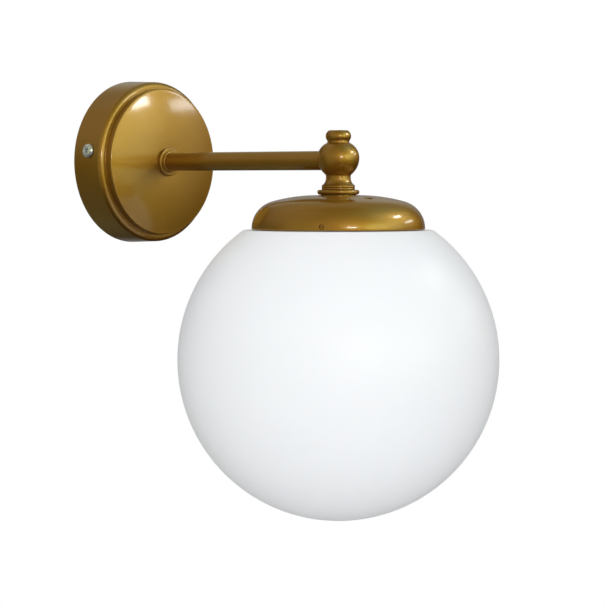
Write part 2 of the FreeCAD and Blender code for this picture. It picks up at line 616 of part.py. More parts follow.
def make_wall_bracket():
    """Round steel plate with two bent ears, wall slots and a cable hole."""
    body = new_body("wall_bracket")
    turn_body(body, FreeCAD.Vector(0, 1, 0), "side_screw_angle")
    plate = new_sketch(body, "XZ_Plane")
    draw_circle(plate, "0", "0", "bracket_plate_r")
    add_pad(body, plate, "bracket_sheet")
    bend = "(bracket_bend_r + bracket_sheet)"
    root = "(bracket_plate_r - 2 * bracket_sheet)"
    ear = new_sketch(body, "XY_Plane")
    corners = [
        (root, "0"),
        (f"{EAR_R} - {bend}", "0", bend, RIGHT),
        (EAR_R, f"-{bend}"),
        (EAR_R, "-bracket_ear_length"),
        (f"{EAR_R} - bracket_sheet", "-bracket_ear_length"),
        (f"{EAR_R} - bracket_sheet", f"-{bend}", "bracket_bend_r", LEFT),
        (f"{EAR_R} - {bend}", "-bracket_sheet"),
        (root, "-bracket_sheet"),
    ]
    draw_outline(ear, corners)
    bent = add_pad(body, ear, "bracket_ear_width", both_ways=True)
    add_ring_pattern(body, [bent], "Y_Axis", 2)
    taps = new_sketch(body, "YZ_Plane")
    draw_circle(taps, "-side_screw_depth", "0", "side_screw_r + thread_gap")
    add_pocket(body, taps, both_ways=True)
    holes = new_sketch(body, "XZ_Plane", turned="side_screw_angle")
    draw_circle(holes, "0", "0", "cable_bore_r + bushing_wall + hole_gap")
    for side in ("-wall_slot_pitch / 2", "wall_slot_pitch / 2"):
        draw_slot(holes, side, "0", "wall_slot_length", "wall_slot_r")
    draw_circle(holes, "pole_pitch / 2", "block_height", "fixing_screw_r + thread_gap")
    draw_circle(holes, "earth_x", "-earth_drop", "side_screw_r + thread_gap")
    add_pocket(body, holes, both_ways=True)


def make_cable_bushing():
    """Soft bushing in the bracket's cable hole."""
    barrel_r = "(cable_bore_r + bushing_wall)"
    top = "(bracket_sheet + bushing_flange_height)"
    corners = [
        ("cable_bore_r", f"-({top} - bushing_round_r)", "bushing_round_r", LEFT),
        ("cable_bore_r + bushing_round_r", f"-{top}"),
        (f"{barrel_r} + bushing_flange", f"-{top}"),
        (f"{barrel_r} + bushing_flange", "-bracket_sheet"),
        (barrel_r, "-bracket_sheet"),
        (barrel_r, "0"),
        ("cable_bore_r", "0"),
    ]
    turned_on_arm("cable_bushing", corners)


def pole_places():
    """Sideways places of the terminal block's poles."""
    middle = (POLES - 1) / 2
    return [f"pole_pitch * {pole - middle}" for pole in range(POLES)]


def clamp_places():
    """Sideways and upward places of the clamp screws."""
    heights = ("block_height - clamp_screw_pitch / 2", "block_height + clamp_screw_pitch / 2")
    return [(x, z) for x in pole_places() for z in heights]


def make_terminal_block():
    """Three-pole block on the bracket, its wire holes running up and down."""
    body = new_body("terminal_block")
    outline = new_sketch(body, "XZ_Plane", offset="bracket_sheet")
    draw_box(outline, "0", "block_height", f"{POLES} * pole_pitch", "block_length")
    add_pad(body, outline, "block_depth")
    notches = new_sketch(body, "XZ_Plane", offset=BLOCK_TOP_DEPTH)
    for side in (-1, 1):
        draw_box(notches, f"{side} * pole_pitch / 2", "block_height", "block_notch", "2 * block_length")
    add_pocket(body, notches, "block_notch_depth")
    wire_holes = new_sketch(body, "XY_Plane")
    for x in pole_places():
        draw_circle(wire_holes, x, f"-{POLE_DEPTH}", "sleeve_r + thread_gap")
    add_pocket(body, wire_holes, both_ways=True)
    screw_holes = new_sketch(body, "XZ_Plane", offset=POLE_DEPTH)
    for x, z in clamp_places():
        draw_circle(screw_holes, x, z, "clamp_screw_r + hole_gap")
    add_pocket(body, screw_holes, backwards=True)
    fixing = new_sketch(body, "XZ_Plane")
    draw_circle(fixing, "pole_pitch / 2", "block_height", "fixing_screw_r + hole_gap")
    add_pocket(body, fixing, both_ways=True)
    sunk = new_sketch(body, "XZ_Plane", offset=f"{BLOCK_TOP_DEPTH} - block_notch_depth - fixing_head_height")
    draw_circle(sunk, "pole_pitch / 2", "block_height", "fixing_head_r + hole_gap")
    add_pocket(body, sunk, backwards=True)


def make_terminal_sleeves():
    """Brass sleeves of the terminal block, one for each pole."""
    length = "(block_length - 2 * sleeve_inset)"
    body = new_body("terminal_sleeves", z="block_height", several=True)
    rings = new_sketch(body, "XY_Plane")
    for x in pole_places():
        draw_circle(rings, x, f"-{POLE_DEPTH}", "sleeve_r")
        draw_circle(rings, x, f"-{POLE_DEPTH}", "sleeve_bore_r")
    add_pad(body, rings, length, both_ways=True)
    taps = new_sketch(body, "XZ_Plane", offset=POLE_DEPTH)
    for x, z in clamp_places():
        draw_circle(taps, x, f"{z} - block_height", "clamp_screw_r + thread_gap")
    add_pocket(body, taps, backwards=True)


def make_clamp_screws():
    """Slotted screws that clamp the leads in the sleeves."""
    tip = f"({POLE_DEPTH} + lead_r + thread_gap)"
    top = f"({BLOCK_TOP_DEPTH} - clamp_screw_inset)"
    body = new_body("terminal_clamp_screws", several=True)
    shanks = new_sketch(body, "XZ_Plane", offset=tip)
    slots = new_sketch(body, "XZ_Plane", offset=top)
    for x, z in clamp_places():
        draw_circle(shanks, x, z, "clamp_screw_r")
        draw_box(slots, x, z, "3 * clamp_screw_r", "slot_width")
    add_pad(body, shanks, f"{top} - {tip}")
    add_pocket(body, slots, "slot_depth")


def make_fixing_screw():
    """Screw that holds the terminal block to the bracket."""
    seat = f"({BLOCK_TOP_DEPTH} - block_notch_depth - fixing_head_height)"
    body = new_body("terminal_fixing_screw", x="pole_pitch / 2", z="block_height")
    corners = [
        ("0", f"-({seat} + fixing_head_height)"),
        ("fixing_head_r", f"-({seat} + fixing_head_height)"),
        ("fixing_head_r", f"-{seat}"),
        ("fixing_screw_r", f"-{seat}"),
        ("fixing_screw_r", "-seat_gap"),
        ("0", "-seat_gap"),
    ]
    add_revolution(body, "XY_Plane", "V_Axis", corners)
    slot = new_sketch(body, "XZ_Plane", offset=f"{seat} + fixing_head_height")
    draw_box(slot, "0", "0", "3 * fixing_head_r", "slot_width")
    add_pocket(body, slot, "slot_depth")


def make_earth_parts():
    """Earth screw on the bracket with its toothed washer and ring tag."""
    washer_depth = "(bracket_sheet + tag_sheet)"
    head_depth = f"({washer_depth} + earth_washer_height)"
    barrel_r = "(lead_r + thread_gap + tag_barrel_wall)"
    tag = new_body("earth_tag", x="earth_x", z="-earth_drop")
    ring = new_sketch(tag, "XZ_Plane", offset="bracket_sheet")
    draw_circle(ring, "0", "0", "tag_r")
    add_pad(tag, ring, "tag_sheet")
    tongue = new_sketch(tag, "XZ_Plane", offset="bracket_sheet")
    draw_box(tongue, "0", "(tag_r + tag_reach) / 2", f"2 * {barrel_r}", "tag_reach - tag_r + 2 * tag_sheet")
    add_pad(tag, tongue, "tag_sheet")
    barrel = new_sketch(tag, "XY_Plane", offset="tag_reach")
    draw_circle(barrel, "0", f"-(bracket_sheet + {barrel_r})", barrel_r)
    add_pad(tag, barrel, "tag_barrel_length")
    hole = new_sketch(tag, "XZ_Plane")
    draw_circle(hole, "0", "0", "side_screw_r + hole_gap")
    add_pocket(tag, hole, both_ways=True)
    bore = new_sketch(tag, "XY_Plane", offset="tag_reach")
    draw_circle(bore, "0", f"-(bracket_sheet + {barrel_r})", "lead_r + thread_gap")
    add_pocket(tag, bore, backwards=True)

    washer = new_body("earth_washer", x="earth_x", z="-earth_drop")
    flat = new_sketch(washer, "XZ_Plane", offset=washer_depth)
    draw_circle(flat, "0", "0", "earth_washer_r")
    draw_circle(flat, "0", "0", "side_screw_r + hole_gap")
    add_pad(washer, flat, "earth_washer_height")
    notch = new_sketch(washer, "XZ_Plane")
    draw_circle(notch, "earth_washer_r", "0", "washer_notch / 2")
    teeth = add_pocket(washer, notch, both_ways=True)
    add_ring_pattern(washer, [teeth], "Y_Axis", WASHER_TEETH)

    screw = new_body("earth_screw", x="earth_x", z="-earth_drop")
    turn_body(screw, FreeCAD.Vector(0, 0, 1), "-90")
    pan_screw(
        screw, head_depth, "side_screw_r", f"({head_depth} - seat_gap)",
        "screw_head_r", "screw_head_height",
    )
    recess = new_sketch(screw, "YZ_Plane", offset=f"{head_depth} + screw_head_height")
    draw_cross(recess, "screw_cross", "screw_cross_slot")
    add_pocket(screw, recess, "screw_cross_depth")


def make_arm():
    """Threaded nipple with its washer and nut, stepped collar and arm tube."""
    chamfer = "(nipple_r - nipple_bore_r) / 3"
    start = f"-({ARM_START} + nipple_grip)"
    end = f"-({NUT_DEPTH} - nipple_proud)"
    turned_on_arm("arm_nipple", tube_outline("nipple_bore_r", "nipple_r", start, end, chamfer))

    washer = new_body("arm_washer")
    flat = new_sketch(washer, "XZ_Plane", offset=f"{NUT_DEPTH} + nut_height")
    draw_circle(flat, "0", "0", "washer_r")
    draw_circle(flat, "0", "0", "nipple_r + hole_gap")
    add_pad(washer, flat, "washer_height")
    notch = new_sketch(washer, "XZ_Plane")
    draw_circle(notch, "washer_r", "0", "washer_notch")
    teeth = add_pocket(washer, notch, both_ways=True)
    add_ring_pattern(washer, [teeth], "Y_Axis", WASHER_TEETH)

    nut = new_body("arm_nut")
    hexagon = new_sketch(nut, "XZ_Plane", offset=NUT_DEPTH)
    draw_hexagon(hexagon, "nut_across")
    draw_circle(hexagon, "0", "0", "nipple_r + thread_gap")
    add_pad(nut, hexagon, "nut_height")

    collar = [
        ("nipple_r + hole_gap", f"-{ARM_START}"),
        ("collar_ring_r - collar_ring_edge_r", f"-{ARM_START}", "collar_ring_edge_r", LEFT),
        ("collar_ring_r", f"-({ARM_START} - collar_ring_edge_r)"),
        ("collar_ring_r", f"-{COLLAR_DEPTH}"),
        ("collar_r - collar_edge_r", f"-{COLLAR_DEPTH}", "collar_edge_r", LEFT),
        ("collar_r", f"-({COLLAR_DEPTH} - collar_edge_r)"),
        ("collar_r", f"-{FACE_DEPTH}"),
        ("nipple_r + hole_gap", f"-{FACE_DEPTH}"),
    ]
    turned_on_arm("arm_collar", collar)

    thread_r = "(nipple_r + thread_gap)"
    bore_r = "(arm_r - arm_wall)"
    sink = "(nipple_grip + nipple_proud)"
    tube = [
        (thread_r, f"-{ARM_END}"),
        ("arm_r", f"-{ARM_END}"),
        ("arm_r", f"-{ARM_START}"),
        (thread_r, f"-{ARM_START}"),
        (thread_r, f"-({ARM_START} + {sink})"),
        (bore_r, f"-({ARM_START} + {sink})"),
        (bore_r, f"-({ARM_END} - {sink})"),
        (thread_r, f"-({ARM_END} - {sink})"),
    ]
    turned_on_arm("arm_tube", tube)

    inner = "(arm_reach - nipple_r - thread_gap - nipple_proud)"
    start = f"-{inner}"
    end = f"-({ARM_END} - nipple_grip)"
    turned_on_arm("knuckle_nipple", tube_outline("nipple_bore_r", "nipple_r", start, end, chamfer))


def make_knuckle_ball():
    """Turned ball with a flared neck, bored through and open towards the arm."""
    thread_r = "(nipple_r + thread_gap)"
    chord = "(ball_top - ball_top_lip + ball_drop)"
    ball_arc = arc_radius(chord, "ball_r - (ball_top_r + neck_r) / 2")
    flare_arc = "((neck_flare ^ 2 + neck_flare_height ^ 2) / (2 * neck_flare))"
    corners = [
        (thread_r, f"-{NECK_FOOT}"),
        ("neck_r + neck_flare", f"-{NECK_FOOT}"),
        ("neck_r + neck_flare", f"-({NECK_FOOT} - neck_lip)", flare_arc, RIGHT),
        ("neck_r", "-(ball_drop + neck_length)"),
        ("neck_r", "-ball_drop", ball_arc, LEFT),
        ("ball_top_r", "ball_top - ball_top_lip"),
        ("ball_top_r", "ball_top"),
        (thread_r, "ball_top"),
    ]
    body = turned_on_stem("knuckle_ball", "0", corners)
    side_bore = new_sketch(body, "XZ_Plane")
    draw_circle(side_bore, "0", "0", thread_r)
    add_pocket(body, side_bore)
    socket = new_sketch(body, "XZ_Plane", offset="-arm_socket")
    draw_circle(socket, "0", "0", "arm_r + thread_gap")
    add_pocket(body, socket)


def make_finial():
    """Turned button on the ball, and the threaded stud that it turns on."""
    foot = "(ball_top + thread_gap)"
    chamfer = "(nipple_r - nipple_bore_r) / 3"
    low = f"{foot} - finial_stud_grip"
    high = f"{foot} + finial_stud_sink"
    stud = [
        ("0", low),
        (f"nipple_r - {chamfer}", low),
        ("nipple_r", f"{low} + {chamfer}"),
        ("nipple_r", high),
        ("0", high),
    ]
    turned_on_stem("finial_stud", "0", stud)
    bulge_foot = f"({foot} + finial_neck_height)"
    top = f"({foot} + finial_height)"
    bulge = arc_radius(
        "finial_height - finial_neck_height", "finial_bulge - (finial_neck_r + finial_top_r) / 2"
    )
    button = [
        ("nipple_r + thread_gap", foot),
        ("finial_neck_r", foot),
        ("finial_neck_r", bulge_foot, bulge, LEFT),
        ("finial_top_r", top),
        ("0", top),
        ("0", f"{high} + thread_gap"),
        ("nipple_r + thread_gap", f"{high} + thread_gap"),
    ]
    turned_on_stem("finial", "0", button)


def make_stem_rings():
    """Stem nipple, the collar with two beads and the flange on the cap."""
    chamfer = "(nipple_r - nipple_bore_r) / 3"
    low = f"-({HOLDER_TOP} - seat_gap)"
    high = "-(nipple_r + thread_gap + nipple_proud)"
    nipple = tube_outline("nipple_bore_r", "nipple_r", low, high, chamfer)
    turned_on_stem("stem_nipple", "0", nipple)

    bore = "(nipple_r + hole_gap)"
    groove_r = "(stem_collar_r - stem_bead)"
    bead = arc_radius("stem_collar_height / 2", "stem_bead")
    collar = [
        (bore, "-stem_collar_height"),
        (groove_r, "-stem_collar_height", bead, LEFT),
        (groove_r, "-stem_collar_height / 2", bead, LEFT),
        (groove_r, "0"),
        (bore, "0"),
    ]
    turned_on_stem("stem_collar", NECK_FOOT, collar)

    foot = "(flange_bead_height + flange_foot_height)"
    base_r = "(flange_r - flange_bead)"
    flange = [
        (bore, f"-{foot}"),
        ("flange_foot_r", f"-{foot}"),
        ("flange_foot_r", "-flange_bead_height"),
        (base_r, "-flange_bead_height", arc_radius("flange_bead_height", "flange_bead"), LEFT),
        (base_r, "0"),
        (bore, "0"),
    ]
    turned_on_stem("cap_flange", FLANGE_TOP, flange)


def make_globe_cap():
    """Spun dome that carries the globe, with vent holes and holes for the neck screws."""
    span = "(cap_rim_r - cap_shoulder_r - cap_seat_r)"
    low = "(cap_crown_rise + cap_shoulder_r)"
    crown_r = f"(({low} ^ 2 + {span} ^ 2 - cap_shoulder_r ^ 2) / (2 * cap_crown_rise))"
    reach = f"({crown_r} - cap_shoulder_r)"
    across = f"({span} / {reach})"
    drop = f"(({crown_r} - {low}) / {reach})"
    corners = [
        ("nipple_r + hole_gap", "-cap_sheet"),
        ("cap_seat_r", "-cap_sheet", f"({crown_r} - cap_sheet)", RIGHT),
        (
            f"cap_seat_r + {across} * ({crown_r} - cap_sheet)",
            f"{drop} * ({crown_r} - cap_sheet) - {crown_r}",
            "(cap_shoulder_r - cap_sheet)",
            RIGHT,
        ),
        ("cap_rim_r - cap_sheet", f"-{low}"),
        ("cap_rim_r - cap_sheet", f"-{CAP_HEIGHT}"),
        ("cap_rim_r", f"-{CAP_HEIGHT}"),
        ("cap_rim_r", f"-{low}", "cap_shoulder_r", LEFT),
        (
            f"cap_seat_r + {across} * {crown_r}",
            f"{drop} * {crown_r} - {crown_r}",
            crown_r,
            LEFT,
        ),
        ("cap_seat_r", "0"),
        ("nipple_r + hole_gap", "0"),
    ]
    body = turned_on_stem("globe_cap", CAP_TOP, corners)
    vents = new_sketch(body, "XY_Plane", turned="vent_angle")
    for side in ("-vent_place_r", "vent_place_r"):
        draw_circle(vents, side, "0", "vent_r")
    add_pocket(body, vents, both_ways=True)
    hole = new_sketch(body, "XZ_Plane")
    draw_circle(hole, "0", f"-({CAP_HEIGHT} - neck_screw_rise)", "neck_screw_r + neck_screw_hole_gap")
    opening = add_pocket(body, hole)
    add_ring_pattern(body, [opening], "Z_Axis", NECK_SCREWS)

    washer = new_body("cap_washer", y="-arm_reach", z=f"-{CAP_TOP}")
    flat = new_sketch(washer, "XY_Plane", offset="-(cap_sheet + washer_height)")
    draw_circle(flat, "0", "0", "washer_r")
    draw_circle(flat, "0", "0", "nipple_r + hole_gap")
    add_pad(washer, flat, "washer_height")
    notch = new_sketch(washer, "XY_Plane")
    draw_circle(notch, "washer_r", "0", "washer_notch")
    teeth = add_pocket(washer, notch, both_ways=True)
    add_ring_pattern(washer, [teeth], "Z_Axis", WASHER_TEETH)

    nut = new_body("cap_nut", y="-arm_reach", z=f"-{CAP_NUT_FOOT}")
    hexagon = new_sketch(nut, "XY_Plane")
    draw_hexagon(hexagon, "nut_across")
    draw_circle(hexagon, "0", "0", "nipple_r + thread_gap")
    add_pad(nut, hexagon, "nut_height")


def make_rim_ring():
    """Ring inside the cap's rim in which the neck screws run."""
    rise = "(rim_ring_height + rim_ring_lift - cap_rim_land)"
    shoulder = f"sqrt((cap_shoulder_r - cap_sheet) ^ 2 - {rise} ^ 2)"
    outer = f"(cap_rim_r - cap_shoulder_r + {shoulder} - hole_gap)"
    corners = [
        (RING_BORE_R, "0"),
        (outer, "0"),
        (outer, "rim_ring_height"),
        (RING_BORE_R, "rim_ring_height"),
    ]
    body = turned_on_stem("rim_ring", f"({CAP_RIM} - rim_ring_lift)", corners)
    hole = new_sketch(body, "XZ_Plane")
    draw_circle(hole, "0", "neck_screw_rise - rim_ring_lift", "neck_screw_r + thread_gap")
    tapped = add_pocket(body, hole)
    add_ring_pattern(body, [tapped], "Z_Axis", NECK_SCREWS)


def make_neck_screw(number):
    """Set screw that presses on the glass neck, with a hexagon socket."""
    tip = f"({GLASS_NECK_R} + neck_screw_tip_gap)"
    end = "(cap_rim_r - neck_screw_inset)"
    body = new_body(f"neck_screw_{number}", y="-arm_reach", z=f"-{NECK_SCREW_LEVEL}")
    spacing = 360 // NECK_SCREWS
    turn_body(body, FreeCAD.Vector(0, 0, 1), f"neck_screw_angle + {spacing * (number - 1)}")
    edge = "neck_screw_r / 8"
    corners = [
        (tip, "0"),
        (end, "0"),
        (end, f"neck_screw_r - {edge}"),
        (f"{end} - {edge}", "neck_screw_r"),
        (f"{tip} + neck_screw_tip_length", "neck_screw_r"),
        (tip, "neck_screw_tip_r"),
    ]
    add_revolution(body, "XY_Plane", "H_Axis", corners)
    socket = new_sketch(body, "YZ_Plane", offset=end)
    draw_hexagon(socket, "neck_screw_socket")
    add_pocket(body, socket, "neck_screw_socket_depth")


def make_glass_globe():
    """Blown globe with a flat shoulder and a short straight neck, about the sphere's centre."""
    inner_r = "(globe_r - globe_glass)"
    rise = SHOULDER_RISE
    corner_x = f"sqrt((globe_r - globe_corner_r) ^ 2 - ({rise} - globe_corner_r) ^ 2)"
    share = "globe_r / (globe_r - globe_corner_r)"
    inner_rise = f"({rise} - globe_glass)"
    inner_corner = f"sqrt({inner_r} ^ 2 - {inner_rise} ^ 2)"
    neck_inner = f"({GLASS_NECK_R} - globe_glass)"
    corners = [
        ("0", "-globe_r", "globe_r", LEFT),
        (f"{corner_x} * {share}", f"({rise} - globe_corner_r) * {share}", "globe_corner_r", LEFT),
        (corner_x, rise),
        (f"{GLASS_NECK_R} + globe_neck_cove_r", rise, "globe_neck_cove_r", RIGHT),
        (GLASS_NECK_R, f"{rise} + globe_neck_cove_r"),
        (GLASS_NECK_R, f"{rise} + globe_neck_height"),
        (neck_inner, f"{rise} + globe_neck_height"),
        (neck_inner, inner_rise),
        (inner_corner, inner_rise, inner_r, RIGHT),
        ("0", f"-{inner_r}"),
    ]
    turned_on_stem("glass_globe", GLOBE_CENTRE, corners)


def make_holder_bridge():
    """Strap with a threaded boss that carries the ceramic body, and its two screws."""
    bridge = new_body("holder_bridge", y="-arm_reach", z=f"-{HOLDER_TOP}")
    strap = new_sketch(bridge, "XY_Plane", turned="90")
    draw_slot(strap, "0", "0", "bridge_length", "bridge_width / 2")
    add_pad(bridge, strap, "bridge_sheet")
    boss = new_sketch(bridge, "XY_Plane")
    draw_circle(boss, "0", "0", "bridge_boss_r")
    add_pad(bridge, boss, "bridge_sheet + bridge_boss_height")
    holes = new_sketch(bridge, "XY_Plane")
    draw_circle(holes, "0", "0", "nipple_r + thread_gap")
    for side in ("-bridge_screw_place", "bridge_screw_place"):
        draw_circle(holes, "0", side, "bridge_screw_r + hole_gap")
    add_pocket(bridge, holes, both_ways=True)

    screws = new_body(
        "holder_bridge_screws", y="-arm_reach", z=f"-({HOLDER_TOP} - bridge_sheet)", several=True
    )
    shanks = new_sketch(screws, "XY_Plane")
    heads = new_sketch(screws, "XY_Plane")
    slots = new_sketch(screws, "XY_Plane", offset="bridge_head_height")
    for side in ("-bridge_screw_place", "bridge_screw_place"):
        draw_circle(heads, "0", side, "bridge_head_r")
        draw_circle(shanks, "0", side, "bridge_screw_r")
        draw_box(slots, "0", side, "3 * bridge_head_r", "slot_width")
    add_pad(screws, heads, "bridge_head_height")
    add_pad(screws, shanks, "bridge_screw_length", backwards=True)
    add_pocket(screws, slots, "slot_depth")


def make_holder_body():
    """Ceramic body: a trough for the terminals above, a bore for the shell below."""
    bore_r = "(bulb_cap_r + shell_fit + shell_sheet + shell_gap)"
    skirt_top = "(holder_height - holder_skirt_height)"
    corners = [
        ("0", f"-{SHELL_TOP}"),
        (bore_r, f"-{SHELL_TOP}"),
        (bore_r, "-holder_height"),
        ("holder_skirt_r - holder_lip_r", "-holder_height", "holder_lip_r", LEFT),
        ("holder_skirt_r", "-(holder_height - holder_lip_r)"),
        ("holder_skirt_r", f"-{skirt_top}"),
        ("holder_top_r", f"-({skirt_top} - holder_cone_height)"),
        ("holder_top_r", "-holder_round_r", "holder_round_r", LEFT),
        ("holder_top_r - holder_round_r", "0"),
        ("0", "0"),
    ]
    body = turned_on_stem("holder_body", HOLDER_TOP, corners)
    trough = new_sketch(body, "XY_Plane")
    draw_box(trough, "0", "0", "trough_length", "trough_width")
    add_pocket(body, trough, "trough_depth")
    screw_holes = new_sketch(body, "XY_Plane")
    for side in ("-bridge_screw_place", "bridge_screw_place"):
        draw_circle(screw_holes, "0", side, "bridge_screw_r + thread_gap")
    add_pocket(body, screw_holes, "bridge_screw_length")
    rivet_holes = new_sketch(body, "XY_Plane")
    for place in ("-live_rivet_place", "neutral_rivet_place"):
        draw_circle(rivet_holes, place, "0", "rivet_r + thread_gap")
    add_pocket(body, rivet_holes)


def make_holder_metal():
    """Screw shell, centre contact, terminals, their screws and the rivets below them."""
    inner_r = "(bulb_cap_r + shell_fit)"
    outer_r = f"({inner_r} + shell_sheet)"
    edge = "(holder_height - shell_inset)"
    corners = [
        ("shell_eye_r", f"-({SHELL_TOP} + contact_sheet)"),
        (inner_r, f"-({SHELL_TOP} + contact_sheet)"),
        (inner_r, f"-{edge}"),
        (outer_r, f"-{edge}"),
        (outer_r, f"-{SHELL_TOP}"),
        ("shell_eye_r", f"-{SHELL_TOP}"),
    ]
    shell = turned_on_stem("holder_shell", HOLDER_TOP, corners)
    eye = new_sketch(shell, "XY_Plane")
    draw_circle(eye, "neutral_rivet_place", "0", "rivet_r + thread_gap")
    add_pocket(shell, eye)

    contact = new_body("holder_contact", y="-arm_reach", z=f"-({HOLDER_TOP} + {SHELL_TOP})")
    strip = new_sketch(contact, "XZ_Plane")
    near = "(live_rivet_place - rivet_head_r - contact_sheet)"
    far = "(live_rivet_place + rivet_head_r)"
    corners = [
        (f"-{far}", "-contact_sheet"),
        (f"-{near}", "-contact_sheet"),
        ("-contact_drop", "-(contact_drop + contact_sheet)"),
        ("contact_reach", "-(contact_drop + contact_sheet)"),
        ("contact_reach", "-contact_drop"),
        ("-contact_drop + contact_sheet", "-contact_drop"),
        (f"-{near} + contact_sheet", "0"),
        (f"-{far}", "0"),
    ]
    draw_outline(strip, corners)
    add_pad(contact, strip, "contact_width", both_ways=True)
    hole = new_sketch(contact, "XY_Plane")
    draw_circle(hole, "-live_rivet_place", "0", "rivet_r + thread_gap")
    add_pocket(contact, hole)

    posts = new_body("holder_terminals", y="-arm_reach", z=f"-{POST_LEVEL}", several=True)
    blocks = new_sketch(posts, "XY_Plane")
    taps = new_sketch(posts, "XY_Plane")
    wires = new_sketch(posts, "YZ_Plane")
    draw_circle(wires, "0", "0", "lead_r + thread_gap")
    for side in ("-", ""):
        draw_box(blocks, f"{side}(post_inner + post_length / 2)", "0", "post_length", "post_width")
        draw_circle(taps, f"{side}post_screw_place", "0", "post_screw_r + thread_gap")
    add_pad(posts, blocks, "post_height", both_ways=True)
    add_pocket(posts, wires, "2 * (post_screw_place + post_screw_r)", both_ways=True)
    add_pocket(posts, taps, backwards=True)

    screws = new_body("holder_terminal_screws", y="-arm_reach", z=f"-{POST_LEVEL}", several=True)
    top = f"({POST_LEVEL} - {HOLDER_TOP} - post_screw_top)"
    shanks = new_sketch(screws, "XY_Plane", offset="lead_r + thread_gap")
    slots = new_sketch(screws, "XY_Plane", offset=top)
    for side in ("-", ""):
        draw_circle(shanks, f"{side}post_screw_place", "0", "post_screw_r")
        draw_box(slots, f"{side}post_screw_place", "0", "3 * post_screw_r", "slot_width")
    add_pad(screws, shanks, f"{top} - lead_r - thread_gap")
    add_pocket(screws, slots, "slot_depth")

    rivets = new_body("holder_rivets", y="-arm_reach", z=f"-({HOLDER_TOP} + {SHELL_TOP})", several=True)
    shanks = new_sketch(rivets, "XY_Plane", offset="-contact_sheet")
    heads = new_sketch(rivets, "XY_Plane", offset="-contact_sheet")
    for place in ("-live_rivet_place", "neutral_rivet_place"):
        draw_circle(shanks, place, "0", "rivet_r")
        draw_circle(heads, place, "0", "rivet_head_r")
    add_pad(rivets, heads, "rivet_head_height", backwards=True)
    add_pad(rivets, shanks, "contact_sheet + holder_floor")


def make_bulb():
    """Screw-base bulb: contact, insulator, threaded cap, housing, board and diffuser."""
    pip = [
        ("0", "-pip_height"),
        ("pip_r", "-pip_height", "pip_r", LEFT),
        ("pip_top_r", "0"),
        ("0", "0"),
    ]
    turned_on_stem("bulb_contact", BULB_TOP, pip)
    insulator = [
        ("0", f"-{BULB_CAP_TOP}"),
        ("bulb_cap_mouth_r", f"-{BULB_CAP_TOP}"),
        ("insulator_top_r", "-pip_height"),
        ("0", "-pip_height"),
    ]
    turned_on_stem("bulb_insulator", BULB_TOP, insulator)

    root_r = "(bulb_cap_r - bulb_thread_depth)"
    bore_r = f"({root_r} - bulb_cap_sheet)"
    ridge = arc_radius("bulb_thread_pitch - bulb_thread_land", "bulb_thread_depth")
    cap = [
        (bore_r, f"-{BULB_CAP_FOOT}"),
        ("bulb_cap_r", f"-{BULB_CAP_FOOT}"),
        ("bulb_cap_r", f"-({BULB_CAP_FOOT} - bulb_skirt + bulb_thread_depth)"),
    ]
    for turn in range(THREAD_TURNS, 0, -1):
        ridge_foot = f"({THREAD_START} + {turn} * bulb_thread_pitch)"
        cap.append((root_r, f"-{ridge_foot}", ridge, LEFT))
        cap.append((root_r, f"-({ridge_foot} - bulb_thread_pitch + bulb_thread_land)"))
    cap += [
        (root_r, f"-{THREAD_START}"),
        ("bulb_cap_mouth_r", f"-{BULB_CAP_TOP}"),
        ("bulb_cap_mouth_r - bulb_cap_sheet", f"-{BULB_CAP_TOP}"),
        (bore_r, f"-{THREAD_START}"),
    ]
    turned_on_stem("bulb_cap", BULB_TOP, cap)

    neck_r = f"({bore_r} - hole_gap)"
    edge_r = DIFFUSER_EDGE_R
    seat_r = f"({edge_r} - board_rim)"
    board_top = f"({HOUSING_FOOT} - board_height)"
    housing = [
        (f"{neck_r} - housing_wall", f"-{BULB_CAP_FOOT}", "housing_curve_r", LEFT),
        (f"{seat_r} - board_ledge", f"-{board_top}"),
        (seat_r, f"-{board_top}"),
        (seat_r, f"-{HOUSING_FOOT}"),
        (edge_r, f"-{HOUSING_FOOT}", "housing_curve_r", RIGHT),
        ("housing_collar_r", f"-{BULB_CAP_FOOT}"),
        (neck_r, f"-{BULB_CAP_FOOT}"),
        (neck_r, f"-({BULB_CAP_FOOT} - housing_neck)"),
        (f"{neck_r} - housing_wall", f"-({BULB_CAP_FOOT} - housing_neck)"),
    ]
    turned_on_stem("bulb_housing", BULB_TOP, housing)

    board = [
        ("0", f"-{HOUSING_FOOT}"),
        (f"{seat_r} - hole_gap", f"-{HOUSING_FOOT}"),
        (f"{seat_r} - hole_gap", f"-{board_top}"),
        ("0", f"-{board_top}"),
    ]
    turned_on_stem("bulb_board", BULB_TOP, board)

    centre = f"({HOUSING_FOOT} + diffuser_cut)"
    inner_r = "(diffuser_r - housing_wall)"
    diffuser = [
        ("0", f"-({centre} + diffuser_r)", "diffuser_r", LEFT),
        (edge_r, f"-{HOUSING_FOOT}"),
        (f"sqrt({inner_r} ^ 2 - diffuser_cut ^ 2)", f"-{HOUSING_FOOT}", inner_r, RIGHT),
        ("0", f"-({centre} + {inner_r})"),
    ]
    turned_on_stem("bulb_diffuser", BULB_TOP, diffuser)


def rounded_route(points, radii):
    """A wire of straight runs joined by tangent arcs, one radius for each inner point."""
    edges = []
    start = points[0]
    for before, corner, after, radius in zip(points, points[1:], points[2:], radii):
        incoming = (corner - before).normalize()
        outgoing = (after - corner).normalize()
        half_turn = incoming.getAngle(outgoing) / 2
        cut = radius * math.tan(half_turn)
        arc_start = corner - incoming * cut
        arc_end = corner + outgoing * cut
        inward = (outgoing - incoming).normalize()
        middle = corner + inward * (radius / math.cos(half_turn) - radius)
        edges.append(Part.LineSegment(start, arc_start).toShape())
        edges.append(Part.Arc(arc_start, middle, arc_end).toShape())
        start = arc_end
    edges.append(Part.LineSegment(start, points[-1]).toShape())
    return Part.Wire(edges)


